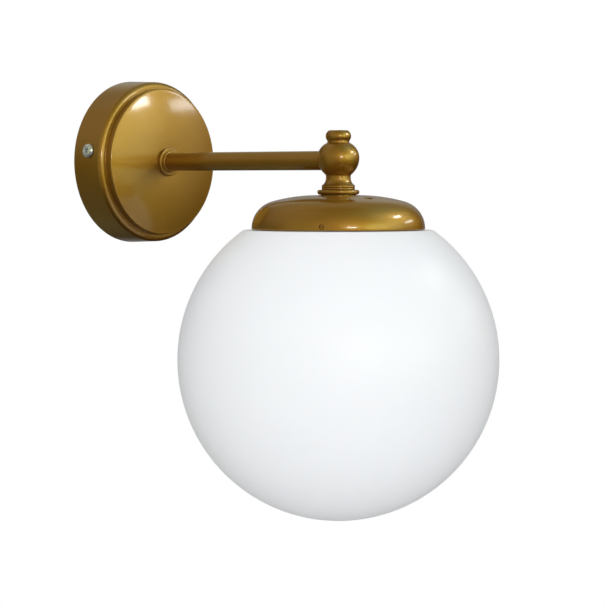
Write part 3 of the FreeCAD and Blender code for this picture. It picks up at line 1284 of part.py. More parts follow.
def free_bend(before, corner, after):
    """Largest bend that two runs leave room for, each giving up less than half."""
    run = min((corner - before).Length, (after - corner).Length)
    half_turn = (corner - before).getAngle(after - corner) / 2
    return 0.45 * run / math.tan(half_turn)


def add_lead(name, points, radii):
    """A lead along its route, as one solid with a round section."""
    route = rounded_route(points, radii)
    lead_r = value("lead_r")
    direction = points[1] - points[0]
    section = Part.Wire(Part.makeCircle(lead_r, points[0], direction))
    shape = route.makePipeShell([section], True, False)
    expected = math.pi * lead_r ** 2 * route.Length
    if abs(shape.Volume - expected) > expected / 100:
        raise ValueError(f"{name}: volume {shape.Volume:.1f}, expected {expected:.1f}")
    lead = doc.addObject("Part::Feature", name)
    lead.Label = name
    lead.Shape = shape
    print(name, "length", round(route.Length, 1), "bends", [round(radius, 1) for radius in radii])


def make_leads():
    """Live and neutral leads through the arm to the lampholder, and the earth lead."""
    pole_y = -value(POLE_DEPTH)
    clamp_z = value("block_height - clamp_screw_pitch / 2")
    exit_z = value("block_height - block_length / 2 - lead_drop")
    cross_y = -value("lead_cross_depth")
    stem_y = -value("arm_reach")
    post_z = -value(POST_LEVEL)
    end_x = value("post_inner + lead_end")
    poles = pole_places()
    for name, pole, side in (("lead_live", poles[0], -1), ("lead_neutral", poles[1], 1)):
        pole_x = value(pole)
        side_x = side * value("lead_side")
        points = [
            FreeCAD.Vector(pole_x, pole_y, clamp_z),
            FreeCAD.Vector(pole_x, pole_y, exit_z),
            FreeCAD.Vector(side_x, cross_y, 0),
            FreeCAD.Vector(side_x, stem_y, 0),
            FreeCAD.Vector(side_x, stem_y, post_z),
            FreeCAD.Vector(side * end_x, stem_y, post_z),
        ]
        radii = [
            free_bend(*points[0:3]),
            free_bend(*points[1:4]),
            value("knuckle_bend_r"),
            value("holder_bend_r"),
        ]
        add_lead(name, points, radii)

    tag_y = -value("bracket_sheet + lead_r + thread_gap + tag_barrel_wall")
    earth_x = value("earth_x")
    tag_end = value("tag_reach + tag_barrel_length - earth_drop")
    points = [
        FreeCAD.Vector(value(poles[2]), pole_y, clamp_z),
        FreeCAD.Vector(value(poles[2]), pole_y, exit_z),
        FreeCAD.Vector(earth_x, tag_y, tag_end + value("lead_drop")),
        FreeCAD.Vector(earth_x, tag_y, tag_end - value("tag_barrel_length / 2")),
    ]
    add_lead("lead_earth", points, [free_bend(*points[0:3]), free_bend(*points[1:4])])


def check_objects():
    """Stop if any object failed, or if a cut removed nothing."""
    for item in doc.Objects:
        failed = [word for word in item.State if word in ("Invalid", "Error")]
        if failed:
            raise RuntimeError(f"{item.Name}: {failed}")
        if item.TypeId == "PartDesign::Pocket":
            removed = item.BaseFeature.Shape.Volume - item.Shape.Volume
            if removed < 1e-6:
                raise RuntimeError(f"{item.Name} cuts nothing")


def write_parts():
    """Check each sub-part's shape and write it to its own file."""
    os.makedirs("parts", exist_ok=True)
    kinds = ("PartDesign::Body", "Part::Feature")
    for item in doc.Objects:
        if item.TypeId not in kinds:
            continue
        if item.Shape.isNull() or not item.Shape.isValid() or not item.Shape.Solids:
            raise RuntimeError(f"{item.Label}: no valid solid")
        item.Shape.exportStep(f"parts/{item.Label}.step")
        print(item.Label, len(item.Shape.Solids), round(item.Shape.Volume, 1))


make_wall_bracket()
make_cable_bushing()
make_terminal_block()
make_terminal_sleeves()
make_clamp_screws()
make_fixing_screw()
make_earth_parts()
make_canopy()
make_canopy_screws()
make_arm()
make_knuckle_ball()
make_finial()
make_stem_rings()
make_globe_cap()
make_rim_ring()
for screw_number in range(1, NECK_SCREWS + 1):
    make_neck_screw(screw_number)
make_glass_globe()
make_holder_bridge()
make_holder_body()
make_holder_metal()
make_bulb()
make_leads()
doc.recompute()
check_objects()
write_parts()
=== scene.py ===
"""Looks of a globe wall lamp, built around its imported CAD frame.

+Z is up, the wall is the plane Y = 0 and the lamp stands out towards -Y. Sizes
in the classes are in millimetres, and Blender's own units are metres.
"""

import logging
import math
from dataclasses import dataclass, field
from enum import Enum
from functools import cache

import bpy
from bpy.types import Material, Node, NodeOutputs, NodeSocket, NodeTree, Object
from mathutils import Matrix, Vector


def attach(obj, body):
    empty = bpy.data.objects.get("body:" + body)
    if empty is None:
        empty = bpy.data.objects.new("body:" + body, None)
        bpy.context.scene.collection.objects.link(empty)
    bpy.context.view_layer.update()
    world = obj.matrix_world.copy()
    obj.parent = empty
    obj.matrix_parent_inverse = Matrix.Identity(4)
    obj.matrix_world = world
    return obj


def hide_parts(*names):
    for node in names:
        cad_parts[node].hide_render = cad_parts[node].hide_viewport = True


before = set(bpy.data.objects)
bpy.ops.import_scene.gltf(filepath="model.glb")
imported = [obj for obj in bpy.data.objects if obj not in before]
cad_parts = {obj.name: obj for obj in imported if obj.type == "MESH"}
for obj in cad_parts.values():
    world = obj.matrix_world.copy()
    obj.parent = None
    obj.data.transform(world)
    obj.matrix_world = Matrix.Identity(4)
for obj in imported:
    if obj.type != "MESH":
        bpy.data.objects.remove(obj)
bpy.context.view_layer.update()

log = logging.getLogger("globe_wall_lamp")
Colour = tuple[float, float, float]
MM = 0.001
WELD = 1e-6
# Steps round a turned piece, from the widest to the smallest.
RIM_STEPS, FINE_STEPS, PLAIN_STEPS, HOLE_STEPS = 256, 192, 96, 48
# Longest step along an arc, in degrees and in millimetres.
ARC_DEGREES, ARC_LENGTH = 5, 1.6
# Edges sharper than these stay sharp, in degrees: on new pieces and on CAD nodes.
PIECE_CREASE, NODE_CREASE = 32, 30
# How light spreads under glass and plastic: each colour's share, and the depth in millimetres.
SCATTER_SHARES, SCATTER_DEPTH = (1.0, 0.95, 0.9), 4.0
COLOUR, NUMBER = "NodeSocketColor", "NodeSocketFloat"
WHITE = (1, 1, 1, 1)


class Side(Enum):
    """Side of the way along an outline on which an arc's centre lies."""

    LEFT = 1
    RIGHT = -1


LEFT, RIGHT = Side


@dataclass(frozen=True)
class Axis:
    """A turning axis: its centre, its direction and where radii are drawn."""

    centre: Vector
    along: Vector
    outwards: Vector

    def place(self, radius: float, height: float) -> Vector:
        """Point at a radius and a height on the axis, both in millimetres."""
        return self.centre + (self.outwards * radius + self.along * height) * MM


ARM = Axis(Vector((0, 0, 0)), Vector((0, -1, 0)), Vector((1, 0, 0)))
STEM = Axis(Vector((0, -0.182, 0)), Vector((0, 0, 1)), Vector((1, 0, 0)))


@dataclass
class Outline:
    """Half section of a turned piece, as (radius, height) pairs in millimetres."""

    points: list[tuple[float, float]] = field(default_factory=list)

    def to(self, radius: float, height: float) -> "Outline":
        """Go straight to a point."""
        self.points.append((radius, height))
        return self

    def arc(self, radius: float, height: float, bend: float, side: Side) -> "Outline":
        """Go to a point along the short arc.

        Args:
            radius: where the arc ends.
            height: where the arc ends.
            bend: radius of the arc.
            side: side of the way on which its centre lies.

        Returns:
            The outline itself.
        """
        start = Vector(self.points[-1])
        end = Vector((radius, height))
        chord = end - start
        across = Vector((-chord.y, chord.x)).normalized() * side.value
        rise = math.sqrt(max(bend ** 2 - chord.length ** 2 / 4, 0))
        centre = (start + end) / 2 + across * rise
        first = math.atan2(*(start - centre).yx)
        sweep = 2 * math.asin(min(chord.length / 2 / bend, 1)) * side.value
        turned = abs(sweep)
        count = max(3, round(math.degrees(turned) / ARC_DEGREES), round(bend * turned / ARC_LENGTH))
        for step in range(1, count):
            angle = first + sweep * step / count
            self.points.append((centre.x + bend * math.cos(angle), centre.y + bend * math.sin(angle)))
        self.points.append((radius, height))
        return self


def arc_radius(chord: float, rise: float) -> float:
    """Radius of an arc with this chord that stands out by this rise."""
    return (chord ** 2 / 4 + rise ** 2) / (2 * rise)


def deselect_all() -> None:
    """Leave object mode with nothing selected."""
    if bpy.context.object is not None and bpy.context.object.mode != "OBJECT":
        bpy.ops.object.mode_set(mode="OBJECT")
    bpy.ops.object.select_all(action="DESELECT")


def make_active(piece: Object) -> None:
    """Select one object alone and make it active."""
    deselect_all()
    piece.select_set(True)
    bpy.context.view_layer.objects.active = piece


def apply_modifiers(piece: Object) -> None:
    """Apply every modifier of a piece in order."""
    make_active(piece)
    for modifier in list(piece.modifiers):
        bpy.ops.object.modifier_apply(modifier=modifier.name)


def settle(piece: Object) -> None:
    """Put a piece's place into its mesh and shade it smooth."""
    make_active(piece)
    bpy.ops.object.transform_apply(location=True, rotation=True, scale=True)
    bpy.ops.object.shade_smooth_by_angle(angle=math.radians(PIECE_CREASE))


def turn(name: str, outline: Outline, axis: Axis, steps: int = FINE_STEPS) -> Object:
    """Turn an outline into a solid of revolution.

    Args:
        name: name of the new piece.
        outline: half section; it is closed unless both its ends are on the axis.
        axis: axis that it turns about.
        steps: faces round the piece.

    Returns:
        The piece, with its origin at the frame's.
    """
    deselect_all()
    places = [axis.place(radius, height) for radius, height in outline.points]
    ends_on_axis = outline.points[0][0] < WELD and outline.points[-1][0] < WELD
    if not ends_on_axis:
        places.append(places[0])
    bpy.ops.mesh.primitive_plane_add(size=MM, location=places[0])
    piece = bpy.context.object
    piece.name = name
    bpy.ops.object.mode_set(mode="EDIT")
    bpy.ops.mesh.select_mode(type="VERT")
    bpy.ops.mesh.select_all(action="SELECT")
    bpy.ops.mesh.merge(type="CENTER")
    for before, after in zip(places, places[1:]):
        bpy.ops.mesh.extrude_region_move(TRANSFORM_OT_translate={"value": after - before})
    bpy.ops.mesh.select_all(action="SELECT")
    bpy.ops.mesh.remove_doubles(threshold=WELD)
    bpy.ops.mesh.select_all(action="SELECT")
    bpy.ops.mesh.spin(
        steps=steps, angle=math.tau, center=axis.centre, axis=axis.along, use_auto_merge=True
    )
    bpy.ops.mesh.select_all(action="SELECT")
    bpy.ops.mesh.remove_doubles(threshold=WELD)
    bpy.ops.mesh.normals_make_consistent(inside=False)
    bpy.ops.object.mode_set(mode="OBJECT")
    settle(piece)
    return piece


def cut_away(piece: Object, tool: Object) -> None:
    """Cut a tool's shape out of a piece, and remove the tool."""
    cut = piece.modifiers.new("cut", "BOOLEAN")
    cut.operation = "DIFFERENCE"
    cut.solver = "EXACT"
    cut.object = tool
    apply_modifiers(piece)
    bpy.data.objects.remove(tool, do_unlink=True)


def round_bar(radius: float, length: float, middle: Vector, along: Vector) -> Object:
    """A round bar to cut a hole with.

    Args:
        radius: radius in millimetres.
        length: length in millimetres.
        middle: middle of the bar, in metres.
        along: direction of the bar.

    Returns:
        The bar.
    """
    deselect_all()
    bpy.ops.mesh.primitive_cylinder_add(
        vertices=HOLE_STEPS, radius=radius * MM, depth=length * MM, location=middle,
        rotation=along.to_track_quat("Z", "Y").to_euler(),
    )
    return bpy.context.object


def join(pieces: tuple[Object, ...], name: str) -> Object:
    """Join pieces into one object."""
    make_active(pieces[0])
    for piece in pieces:
        piece.select_set(True)
    bpy.ops.object.join()
    pieces[0].name = name
    return pieces[0]


def soften(node: Object) -> None:
    """Shade a CAD node smooth without touching its mesh: weld it, then split sharp edges."""
    make_active(node)
    bpy.ops.object.shade_smooth()
    weld = node.modifiers.new("weld", "WELD")
    weld.merge_threshold = 5 * WELD
    split = node.modifiers.new("split", "EDGE_SPLIT")
    split.split_angle = math.radians(NODE_CREASE)


def feed(tree: NodeTree, node: Node, inputs: dict[str | int, object]) -> None:
    """Give each input of a node its value, or link the socket that feeds it."""
    for name, value in inputs.items():
        if isinstance(value, NodeSocket):
            tree.links.new(value, node.inputs[name])
        else:
            node.inputs[name].default_value = value


def add_node(tree: NodeTree, kind: str, inputs: dict[str | int, object], **settings: object) -> Node:
    """Add a shader node.

    Args:
        tree: node tree that it goes into.
        kind: its type, without "ShaderNode".
        inputs: what its inputs take: values, or sockets that feed them.
        settings: its own settings.

    Returns:
        The node.
    """
    node = tree.nodes.new("ShaderNode" + kind)
    for name, setting in settings.items():
        setattr(node, name, setting)
    feed(tree, node, inputs)
    return node


def new_group(
    name: str, inputs: dict[str, str], outputs: dict[str, str]
) -> tuple[NodeTree, NodeOutputs, Node]:
    """An empty shader group.

    Args:
        name: name of the group.
        inputs: each input's name and socket type.
        outputs: each output's name and socket type.

    Returns:
        The group, the sockets that it is given, and the node that takes its results.
    """
    group = bpy.data.node_groups.new(name, "ShaderNodeTree")
    for end, sockets in (("INPUT", inputs), ("OUTPUT", outputs)):
        for label, kind in sockets.items():
            group.interface.new_socket(label, in_out=end, socket_type=kind)
    given = group.nodes.new("NodeGroupInput")
    return group, given.outputs, group.nodes.new("NodeGroupOutput")


@cache
def blend_group() -> NodeTree:
    """Two-colour mottle with a fine speckle on top, in Object coordinates."""
    colours = dict.fromkeys(("Ground", "Cloud", "Speck"), COLOUR)
    numbers = dict.fromkeys(("Cloud Scale", "Cloud Share", "Speck Scale", "Speck Share"), NUMBER)
    group, given, result = new_group("mottle", colours | numbers, {"Color": COLOUR})
    place = add_node(group, "TexCoord", {}).outputs["Object"]
    layers = given["Ground"]
    for name, detail, roughness, low, high in (
        ("Cloud", 4, 0.55, 0.35, 0.65),
        ("Speck", 2, 0.5, 0.5, 0.7),
    ):
        texture = add_node(group, "TexNoise", {
            "Vector": place, "Scale": given[f"{name} Scale"], "Detail": detail, "Roughness": roughness,
        })
        sharpen = add_node(group, "MapRange", {
            "Value": texture.outputs["Fac"], "From Min": low, "From Max": high,
        })
        weight = add_node(group, "Math", {
            0: sharpen.outputs["Result"], 1: given[f"{name} Share"],
        }, operation="MULTIPLY")
        mix = add_node(group, "Mix", {
            "Factor": weight.outputs["Value"], "A": layers, "B": given[name],
        }, data_type="RGBA")
        layers = mix.outputs["Result"]
    feed(group, result, {"Color": layers})
    return group


@cache
def surface_group() -> NodeTree:
    """Roughness that varies a little, and a height of fine ripples."""
    numbers = ("Roughness", "Spread", "Ripple Scale", "Grain Scale", "Grain Share")
    results = dict.fromkeys(("Roughness", "Height"), NUMBER)
    group, given, result = new_group("skin", dict.fromkeys(numbers, NUMBER), results)
    place = add_node(group, "TexCoord", {}).outputs["Object"]
    ripple, grain = (
        add_node(group, "TexNoise", {"Vector": place, "Scale": given[scale], "Detail": detail})
        for scale, detail in (("Ripple Scale", 2), ("Grain Scale", 1))
    )
    centred = add_node(group, "Math", {0: ripple.outputs["Fac"], 1: 0.5}, operation="SUBTRACT")
    spread = add_node(group, "Math", {
        0: centred.outputs["Value"], 1: given["Spread"], 2: given["Roughness"],
    }, operation="MULTIPLY_ADD")
    height = add_node(group, "Math", {
        0: grain.outputs["Fac"], 1: given["Grain Share"], 2: ripple.outputs["Fac"],
    }, operation="MULTIPLY_ADD")
    feed(group, result, {"Roughness": spread.outputs["Value"], "Height": height.outputs["Value"]})
    return group


@dataclass(frozen=True)
class Finish:
    """A surface finish. Scales are in features per metre, bump depth in millimetres."""

    name: str
    ground: Colour
    cloud: Colour
    speck: Colour
    cloud_scale: float = 30
    cloud_share: float = 0.5
    speck_scale: float = 1500
    speck_share: float = 0.3
    metallic: float = 0
    roughness: float = 0.4
    spread: float = 0.08
    ripple_scale: float = 250
    grain_scale: float = 1800
    grain_share: float = 0.3
    bump: float = 0.02
    coat: float = 0
    coat_roughness: float = 0.05
    subsurface: float = 0
    specular: float = 0.5
    edge: Colour = (1, 1, 1)

    def build(self) -> Material:
        """Make the material.

        Returns:
            A material whose colour, roughness and height come from the shared groups.
        """
        material = bpy.data.materials.new(self.name)
        material.use_nodes = True
        tree = material.node_tree
        colours = add_node(tree, "Group", {
            "Ground": (*self.ground, 1), "Cloud": (*self.cloud, 1), "Speck": (*self.speck, 1),
            "Cloud Scale": self.cloud_scale, "Cloud Share": self.cloud_share,
            "Speck Scale": self.speck_scale, "Speck Share": self.speck_share,
        }, node_tree=blend_group())
        skin = add_node(tree, "Group", {
            "Roughness": self.roughness, "Spread": self.spread, "Ripple Scale": self.ripple_scale,
            "Grain Scale": self.grain_scale, "Grain Share": self.grain_share,
        }, node_tree=surface_group())
        bump = add_node(tree, "Bump", {
            "Strength": 1, "Distance": self.bump * MM, "Height": skin.outputs["Height"],
        })
        shader = tree.nodes["Principled BSDF"]
        feed(tree, shader, {
            "Base Color": colours.outputs["Color"], "Roughness": skin.outputs["Roughness"],
            "Normal": bump.outputs["Normal"], "Metallic": self.metallic, "Coat Weight": self.coat,
            "Coat Roughness": self.coat_roughness, "Subsurface Weight": self.subsurface,
            "Specular IOR Level": self.specular, "Specular Tint": (*self.edge, 1),
        })
        if self.subsurface:
            feed(tree, shader, {
                "Subsurface Radius": SCATTER_SHARES, "Subsurface Scale": SCATTER_DEPTH * MM,
            })
        return material


GOLD = Finish(
    "gold_paint",
    ground=(0.37, 0.200, 0.030), cloud=(0.32, 0.168, 0.024), speck=(0.46, 0.27, 0.06),
    cloud_scale=26, speck_scale=2600, speck_share=0.4,
    metallic=1.0, roughness=0.50, ripple_scale=160, bump=0.006, grain_share=0.2,
    edge=(0.8, 0.62, 0.36), coat=1.0, coat_roughness=0.13,
)
SATIN_GLASS = Finish(
    "satin_glass",
    ground=(0.84, 0.86, 0.88), cloud=(0.82, 0.845, 0.87), speck=(0.87, 0.885, 0.90),
    cloud_scale=9, speck_scale=900, speck_share=0.2,
    roughness=0.42, spread=0.04, ripple_scale=60, bump=0.01, grain_share=0.1,
    subsurface=0.35, specular=0.4,
)
ZINC = Finish(
    "zinc_plate",
    ground=(0.66, 0.75, 0.84), cloud=(0.50, 0.59, 0.69), speck=(0.80, 0.87, 0.94),
    cloud_scale=260, speck_scale=1200, metallic=0.88, roughness=0.26, bump=0.010,
)
BRASS = Finish(
    "bare_brass",
    ground=(0.70, 0.50, 0.20), cloud=(0.60, 0.41, 0.15), speck=(0.80, 0.62, 0.30),
    cloud_scale=120, metallic=1.0, roughness=0.28, bump=0.006,
)
NICKEL = Finish(
    "nickel_plate",
    ground=(0.66, 0.64, 0.60), cloud=(0.57, 0.55, 0.51), speck=(0.76, 0.75, 0.72),
    cloud_scale=90, speck_scale=1400, metallic=1.0, roughness=0.24, bump=0.005,
)
ALUMINIUM = Finish(
    "board_aluminium",
    ground=(0.74, 0.75, 0.77), cloud=(0.66, 0.67, 0.70), speck=(0.82, 0.83, 0.84),
    cloud_scale=100, speck_scale=1600, metallic=1.0, bump=0.008,
)
RUBBER = Finish(
    "soft_rubber",
    ground=(0.030, 0.030, 0.032), cloud=(0.040, 0.040, 0.041), speck=(0.055, 0.055, 0.056),
    cloud_scale=90, speck_scale=2200, roughness=0.75,
)
WHITE_PLASTIC = Finish(
    "white_plastic",
    ground=(0.80, 0.80, 0.77), cloud=(0.77, 0.77, 0.735), speck=(0.83, 0.83, 0.81),
    cloud_scale=60, speck_scale=1800, roughness=0.45, bump=0.01, subsurface=0.1,
)
DIFFUSER = Finish(
    "frosted_diffuser",
    ground=(0.88, 0.88, 0.865), cloud=(0.86, 0.86, 0.84), speck=(0.90, 0.90, 0.89),
    cloud_scale=40, speck_scale=1800, roughness=0.55, bump=0.008, subsurface=0.5,
)
CERAMIC = Finish(
    "glazed_ceramic",
    ground=(0.82, 0.80, 0.74), cloud=(0.79, 0.765, 0.70), speck=(0.70, 0.67, 0.60),
    cloud_scale=50, speck_scale=900, speck_share=0.15, roughness=0.3, bump=0.015,
    coat=0.6, coat_roughness=0.08,
)
BLACK_GLASS = Finish(
    "black_glass",
    ground=(0.012, 0.012, 0.014), cloud=(0.018, 0.018, 0.020), speck=(0.03, 0.03, 0.032),
    cloud_scale=120, roughness=0.15, bump=0.004,
)
BROWN_LEAD = Finish(
    "brown_insulation",
    ground=(0.115, 0.050, 0.024), cloud=(0.100, 0.043, 0.020), speck=(0.140, 0.065, 0.034),
    cloud_scale=80, speck_scale=1800, roughness=0.42, bump=0.008,
)
BLUE_LEAD = Finish(
    "blue_insulation",
    ground=(0.018, 0.082, 0.33), cloud=(0.014, 0.070, 0.29), speck=(0.030, 0.105, 0.38),
    cloud_scale=80, speck_scale=1800, roughness=0.42, bump=0.008,
)


@dataclass(frozen=True)
class StripedInsulation:
    """Green insulation with yellow stripes along it."""

    name: str = "green_yellow_insulation"
    green: Colour = (0.035, 0.17, 0.035)
    yellow: Colour = (0.72, 0.52, 0.03)
    stripe_scale: float = 143
    stripe_share: float = 0.5

    def build(self) -> Material:
        """Make the material.

        Returns:
            A material whose bands lie across the lead's thickness, so that they run along it.
        """
        material = Finish(
            self.name, ground=self.green, cloud=self.green, speck=self.green, roughness=0.42, bump=0.006
        ).build()
        tree = material.node_tree
        place = add_node(tree, "TexCoord", {}).outputs["Object"]
        bands = add_node(tree, "TexWave", {
            "Vector": place, "Scale": self.stripe_scale,
        }, bands_direction="Y")
        stripe = add_node(tree, "Math", {
            0: bands.outputs["Fac"], 1: self.stripe_share,
        }, operation="GREATER_THAN")
        colour = add_node(tree, "Mix", {
            "Factor": stripe.outputs["Value"], "A": (*self.green, 1), "B": (*self.yellow, 1),
        }, data_type="RGBA")
        feed(tree, tree.nodes["Principled BSDF"], {"Base Color": colour.outputs["Result"]})
        return material


def dress(piece: Object, material: Material) -> None:
    """Give a piece one material."""
    piece.data.materials.clear()
    piece.data.materials.append(material)


def stand_for(
    piece: Object, node: str, material: Material,
    body: str = "fixture",
) -> None:
    """Finish a new piece that replaces a CAD node.

    Args:
        piece: the new piece.
        node: CAD node that it stands for.
        material: its material.
        body: CAD body that it rides on.
    """
    dress(piece, material)
    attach(piece, body)
    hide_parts(node)
    log.info("%s stands for %s on %s", piece.name, node, body)


@dataclass
class Canopy:
    """Spun bowl on the wall, drilled for its two side screws."""

    gold: Material
    back_r: float = 53.6
    front_r: float = 52.8
    wall_depth: float = 21.0
    shoulder_r: float = 3.3
    cove_r: float = 0.3
    step_r: float = 48.1
    step_depth: float = 4.1
    edge_r: float = 0.9
    dome_rise: float = 4.0
    seat_r: float = 10.4
    sheet: float = 1.2
    hole_r: float = 5.15
    lip_r: float = 0.4
    lip_lean: float = 0.02
    inner_edge: float = 0.1
    screw_depth: float = 13.0
    screw_turn: float = 7.5
    screw_hole_r: float = 2.1
    drill_length: float = 6.0

    @property
    def face_depth(self) -> float:
        """Depth of the flat seat under the arm's collar."""
        return self.wall_depth + self.shoulder_r + self.step_depth + self.edge_r + self.dome_rise

    def outline(self) -> Outline:
        """Half section of the bowl, from the hole over the face to the wall and back inside."""
        step_top = self.wall_depth + self.shoulder_r
        edge = step_top + self.step_depth
        dome_foot = edge + self.edge_r
        span = self.step_r - self.edge_r - self.seat_r
        dome = arc_radius(2 * span, self.dome_rise)
        inner = self.step_r - self.sheet
        reach = math.sqrt((dome - self.sheet) ** 2 - (inner - self.seat_r) ** 2)
        path = Outline().to(self.hole_r, self.face_depth).to(self.seat_r, self.face_depth)
        path.arc(self.step_r - self.edge_r, dome_foot, dome, RIGHT)
        path.arc(self.step_r, edge, self.edge_r, RIGHT)
        path.to(self.step_r, step_top + self.cove_r)
        path.arc(self.step_r + self.cove_r, step_top, self.cove_r, LEFT)
        path.to(self.front_r - self.shoulder_r, step_top)
        path.arc(self.front_r, self.wall_depth, self.shoulder_r, RIGHT)
        path.to(self.back_r - self.lip_lean, self.lip_r)
        path.arc(self.back_r - self.lip_r, 0, self.lip_r, RIGHT)
        path.to(self.back_r - self.sheet + self.inner_edge, 0)
        path.to(self.back_r - self.sheet, self.inner_edge)
        path.to(self.front_r - self.sheet, self.wall_depth)
        path.arc(
            self.front_r - self.shoulder_r, step_top - self.sheet, self.shoulder_r - self.sheet, LEFT
        )
        path.to(inner, step_top - self.sheet)
        path.to(inner, self.face_depth - dome + reach)
        path.arc(self.seat_r, self.face_depth - self.sheet, dome - self.sheet, LEFT)
        path.to(self.hole_r, self.face_depth - self.sheet)
        return path

    def build(self) -> None:
        """Turn the bowl, drill its sides and dress it."""
        bowl = turn("canopy_bowl", self.outline(), ARM, RIM_STEPS)
        self.drill_sides(bowl)
        stand_for(bowl, "canopy", self.gold)

    def side_way(self) -> Vector:
        """Direction of the right side screw, a little below level."""
        turned = math.radians(self.screw_turn)
        return Vector((math.cos(turned), 0, -math.sin(turned)))

    def drill_sides(self, bowl: Object) -> None:
        """Cut the two holes for the side screws."""
        for side in (-1, 1):
            out = self.side_way() * side
            middle = ARM.place(0, self.screw_depth) + out * self.front_r * MM
            cut_away(bowl, round_bar(self.screw_hole_r, self.drill_length, middle, out))
        settle(bowl)


@dataclass
class SideScrews:
    """Two cross-head screws in the canopy's side."""

    zinc: Material
    canopy: Canopy
    shank_r: float = 1.95
    shank_edge: float = 0.3
    length: float = 8.0
    seat_gap: float = 0.2
    head_r: float = 4.5
    head_height: float = 2.4
    head_edge: float = 0.9
    foot_edge: float = 0.1
    flat_r: float = 2.6
    round_r: float = 2.2
    cross: float = 5.4
    cross_foot: float = 2.4
    slot: float = 1.4
    slot_foot: float = 0.8
    cross_depth: float = 1.7
    cross_turn: float = 20.0
    bevel: float = 0.07
    bevel_crease: float = 38

    def build(self) -> None:
        """Model one screw, copy it to the other side and dress both."""
        right = self.make_screw()
        left = right.copy()
        left.data = right.data.copy()
        bpy.context.scene.collection.objects.link(left)
        left.rotation_euler = (0, math.pi, 0)
        screws = join((right, left), "canopy_side_screws")
        settle(screws)
        stand_for(screws, "canopy_screws", self.zinc)

    def make_screw(self) -> Object:
        """The right screw: turned body, cross recess and soft edges."""
        canopy = self.canopy
        out = canopy.side_way()
        axis = Axis(ARM.place(0, canopy.screw_depth), out, Vector((0, -1, 0)))
        lean = (canopy.back_r - canopy.front_r) * canopy.screw_depth / canopy.wall_depth
        seat = canopy.back_r - lean + self.seat_gap
        top = seat + self.head_height
        foot = seat - self.length
        path = Outline().to(0, foot).to(self.shank_r - self.shank_edge, foot)
        path.to(self.shank_r, foot + self.shank_edge).to(self.shank_r, seat)
        path.to(self.head_r - self.foot_edge, seat).to(self.head_r, seat + self.foot_edge)
        path.to(self.head_r, seat + self.head_edge)
        path.arc(self.flat_r, top, self.round_r, LEFT).to(0, top)
        screw = turn("side_screw", path, axis, PLAIN_STEPS)
        for quarter in (0, 1):
            cut_away(screw, self.make_wedge(axis.place(0, top), out, quarter))
        edges = screw.modifiers.new("edges", "BEVEL")
        edges.width = self.bevel * MM
        edges.segments = 2
        edges.limit_method = "ANGLE"
        edges.angle_limit = math.radians(self.bevel_crease)
        apply_modifiers(screw)
        return screw

    def make_wedge(self, place: Vector, out: Vector, quarter: int) -> Object:
        """One tapered arm of the cross, to cut with.

        Args:
            place: middle of the head's top, in metres.
            out: direction in which the head points.
            quarter: quarter turns about that direction.

        Returns:
            The wedge.
        """
        deselect_all()
        turned = out.to_track_quat("Z", "Y")
        spin = Matrix.Rotation(math.radians(90 * quarter + self.cross_turn), 3, "Z").to_quaternion()
        bpy.ops.mesh.primitive_cube_add(size=2, rotation=(turned @ spin).to_euler(), location=place)
        wedge = bpy.context.object
        wedge.scale = (self.cross / 2 * MM, self.slot / 2 * MM, self.cross_depth * MM)
        bpy.ops.object.mode_set(mode="EDIT")
        bpy.ops.mesh.select_mode(type="FACE")
        bpy.ops.mesh.select_all(action="DESELECT")
        bpy.ops.object.mode_set(mode="OBJECT")
        for polygon in wedge.data.polygons:
            polygon.select = polygon.normal.z < -0.5
        bpy.ops.object.mode_set(mode="EDIT")
        share = (self.cross_foot / self.cross, self.slot_foot / self.slot, 1)
        bpy.ops.transform.resize(value=share, orient_type="LOCAL")
        bpy.ops.object.mode_set(mode="OBJECT")
        return wedge


@dataclass
class Arm:
    """Stepped collar and straight tube."""

    gold: Material
    face_depth: float = 33.3
    collar_r: float = 9.4
    collar_height: float = 2.3
    collar_edge_r: float = 0.8
    collar_foot_edge: float = 0.15
    ring_r: float = 7.2
    ring_height: float = 1.2
    ring_edge_r: float = 0.5
    tube_r: float = 6.0
    wall: float = 1.5
    end: float = 171.5
    hole_r: float = 5.15

    def build(self) -> None:
        """Turn the collar and the tube."""
        rim = self.face_depth + self.collar_height
        start = rim + self.ring_height
        path = Outline().to(self.hole_r, start).to(self.ring_r - self.ring_edge_r, start)
        path.arc(self.ring_r, start - self.ring_edge_r, self.ring_edge_r, RIGHT)
        path.to(self.ring_r, rim).to(self.collar_r - self.collar_edge_r, rim)
        path.arc(self.collar_r, rim - self.collar_edge_r, self.collar_edge_r, RIGHT)
        path.to(self.collar_r, self.face_depth + self.collar_foot_edge)
        path.to(self.collar_r - self.collar_foot_edge, self.face_depth)
        path.to(self.hole_r, self.face_depth)
        stand_for(turn("arm_stepped_collar", path, ARM), "arm_collar", self.gold)
        bore = self.tube_r - self.wall
        middle = (start + self.end) / 2
        tube = Outline().to(bore, self.end).to(self.tube_r, self.end)
        tube.to(self.tube_r, middle).to(self.tube_r, start).to(bore, start)
        stand_for(turn("arm_straight_tube", tube, ARM, PLAIN_STEPS), "arm_tube", self.gold)


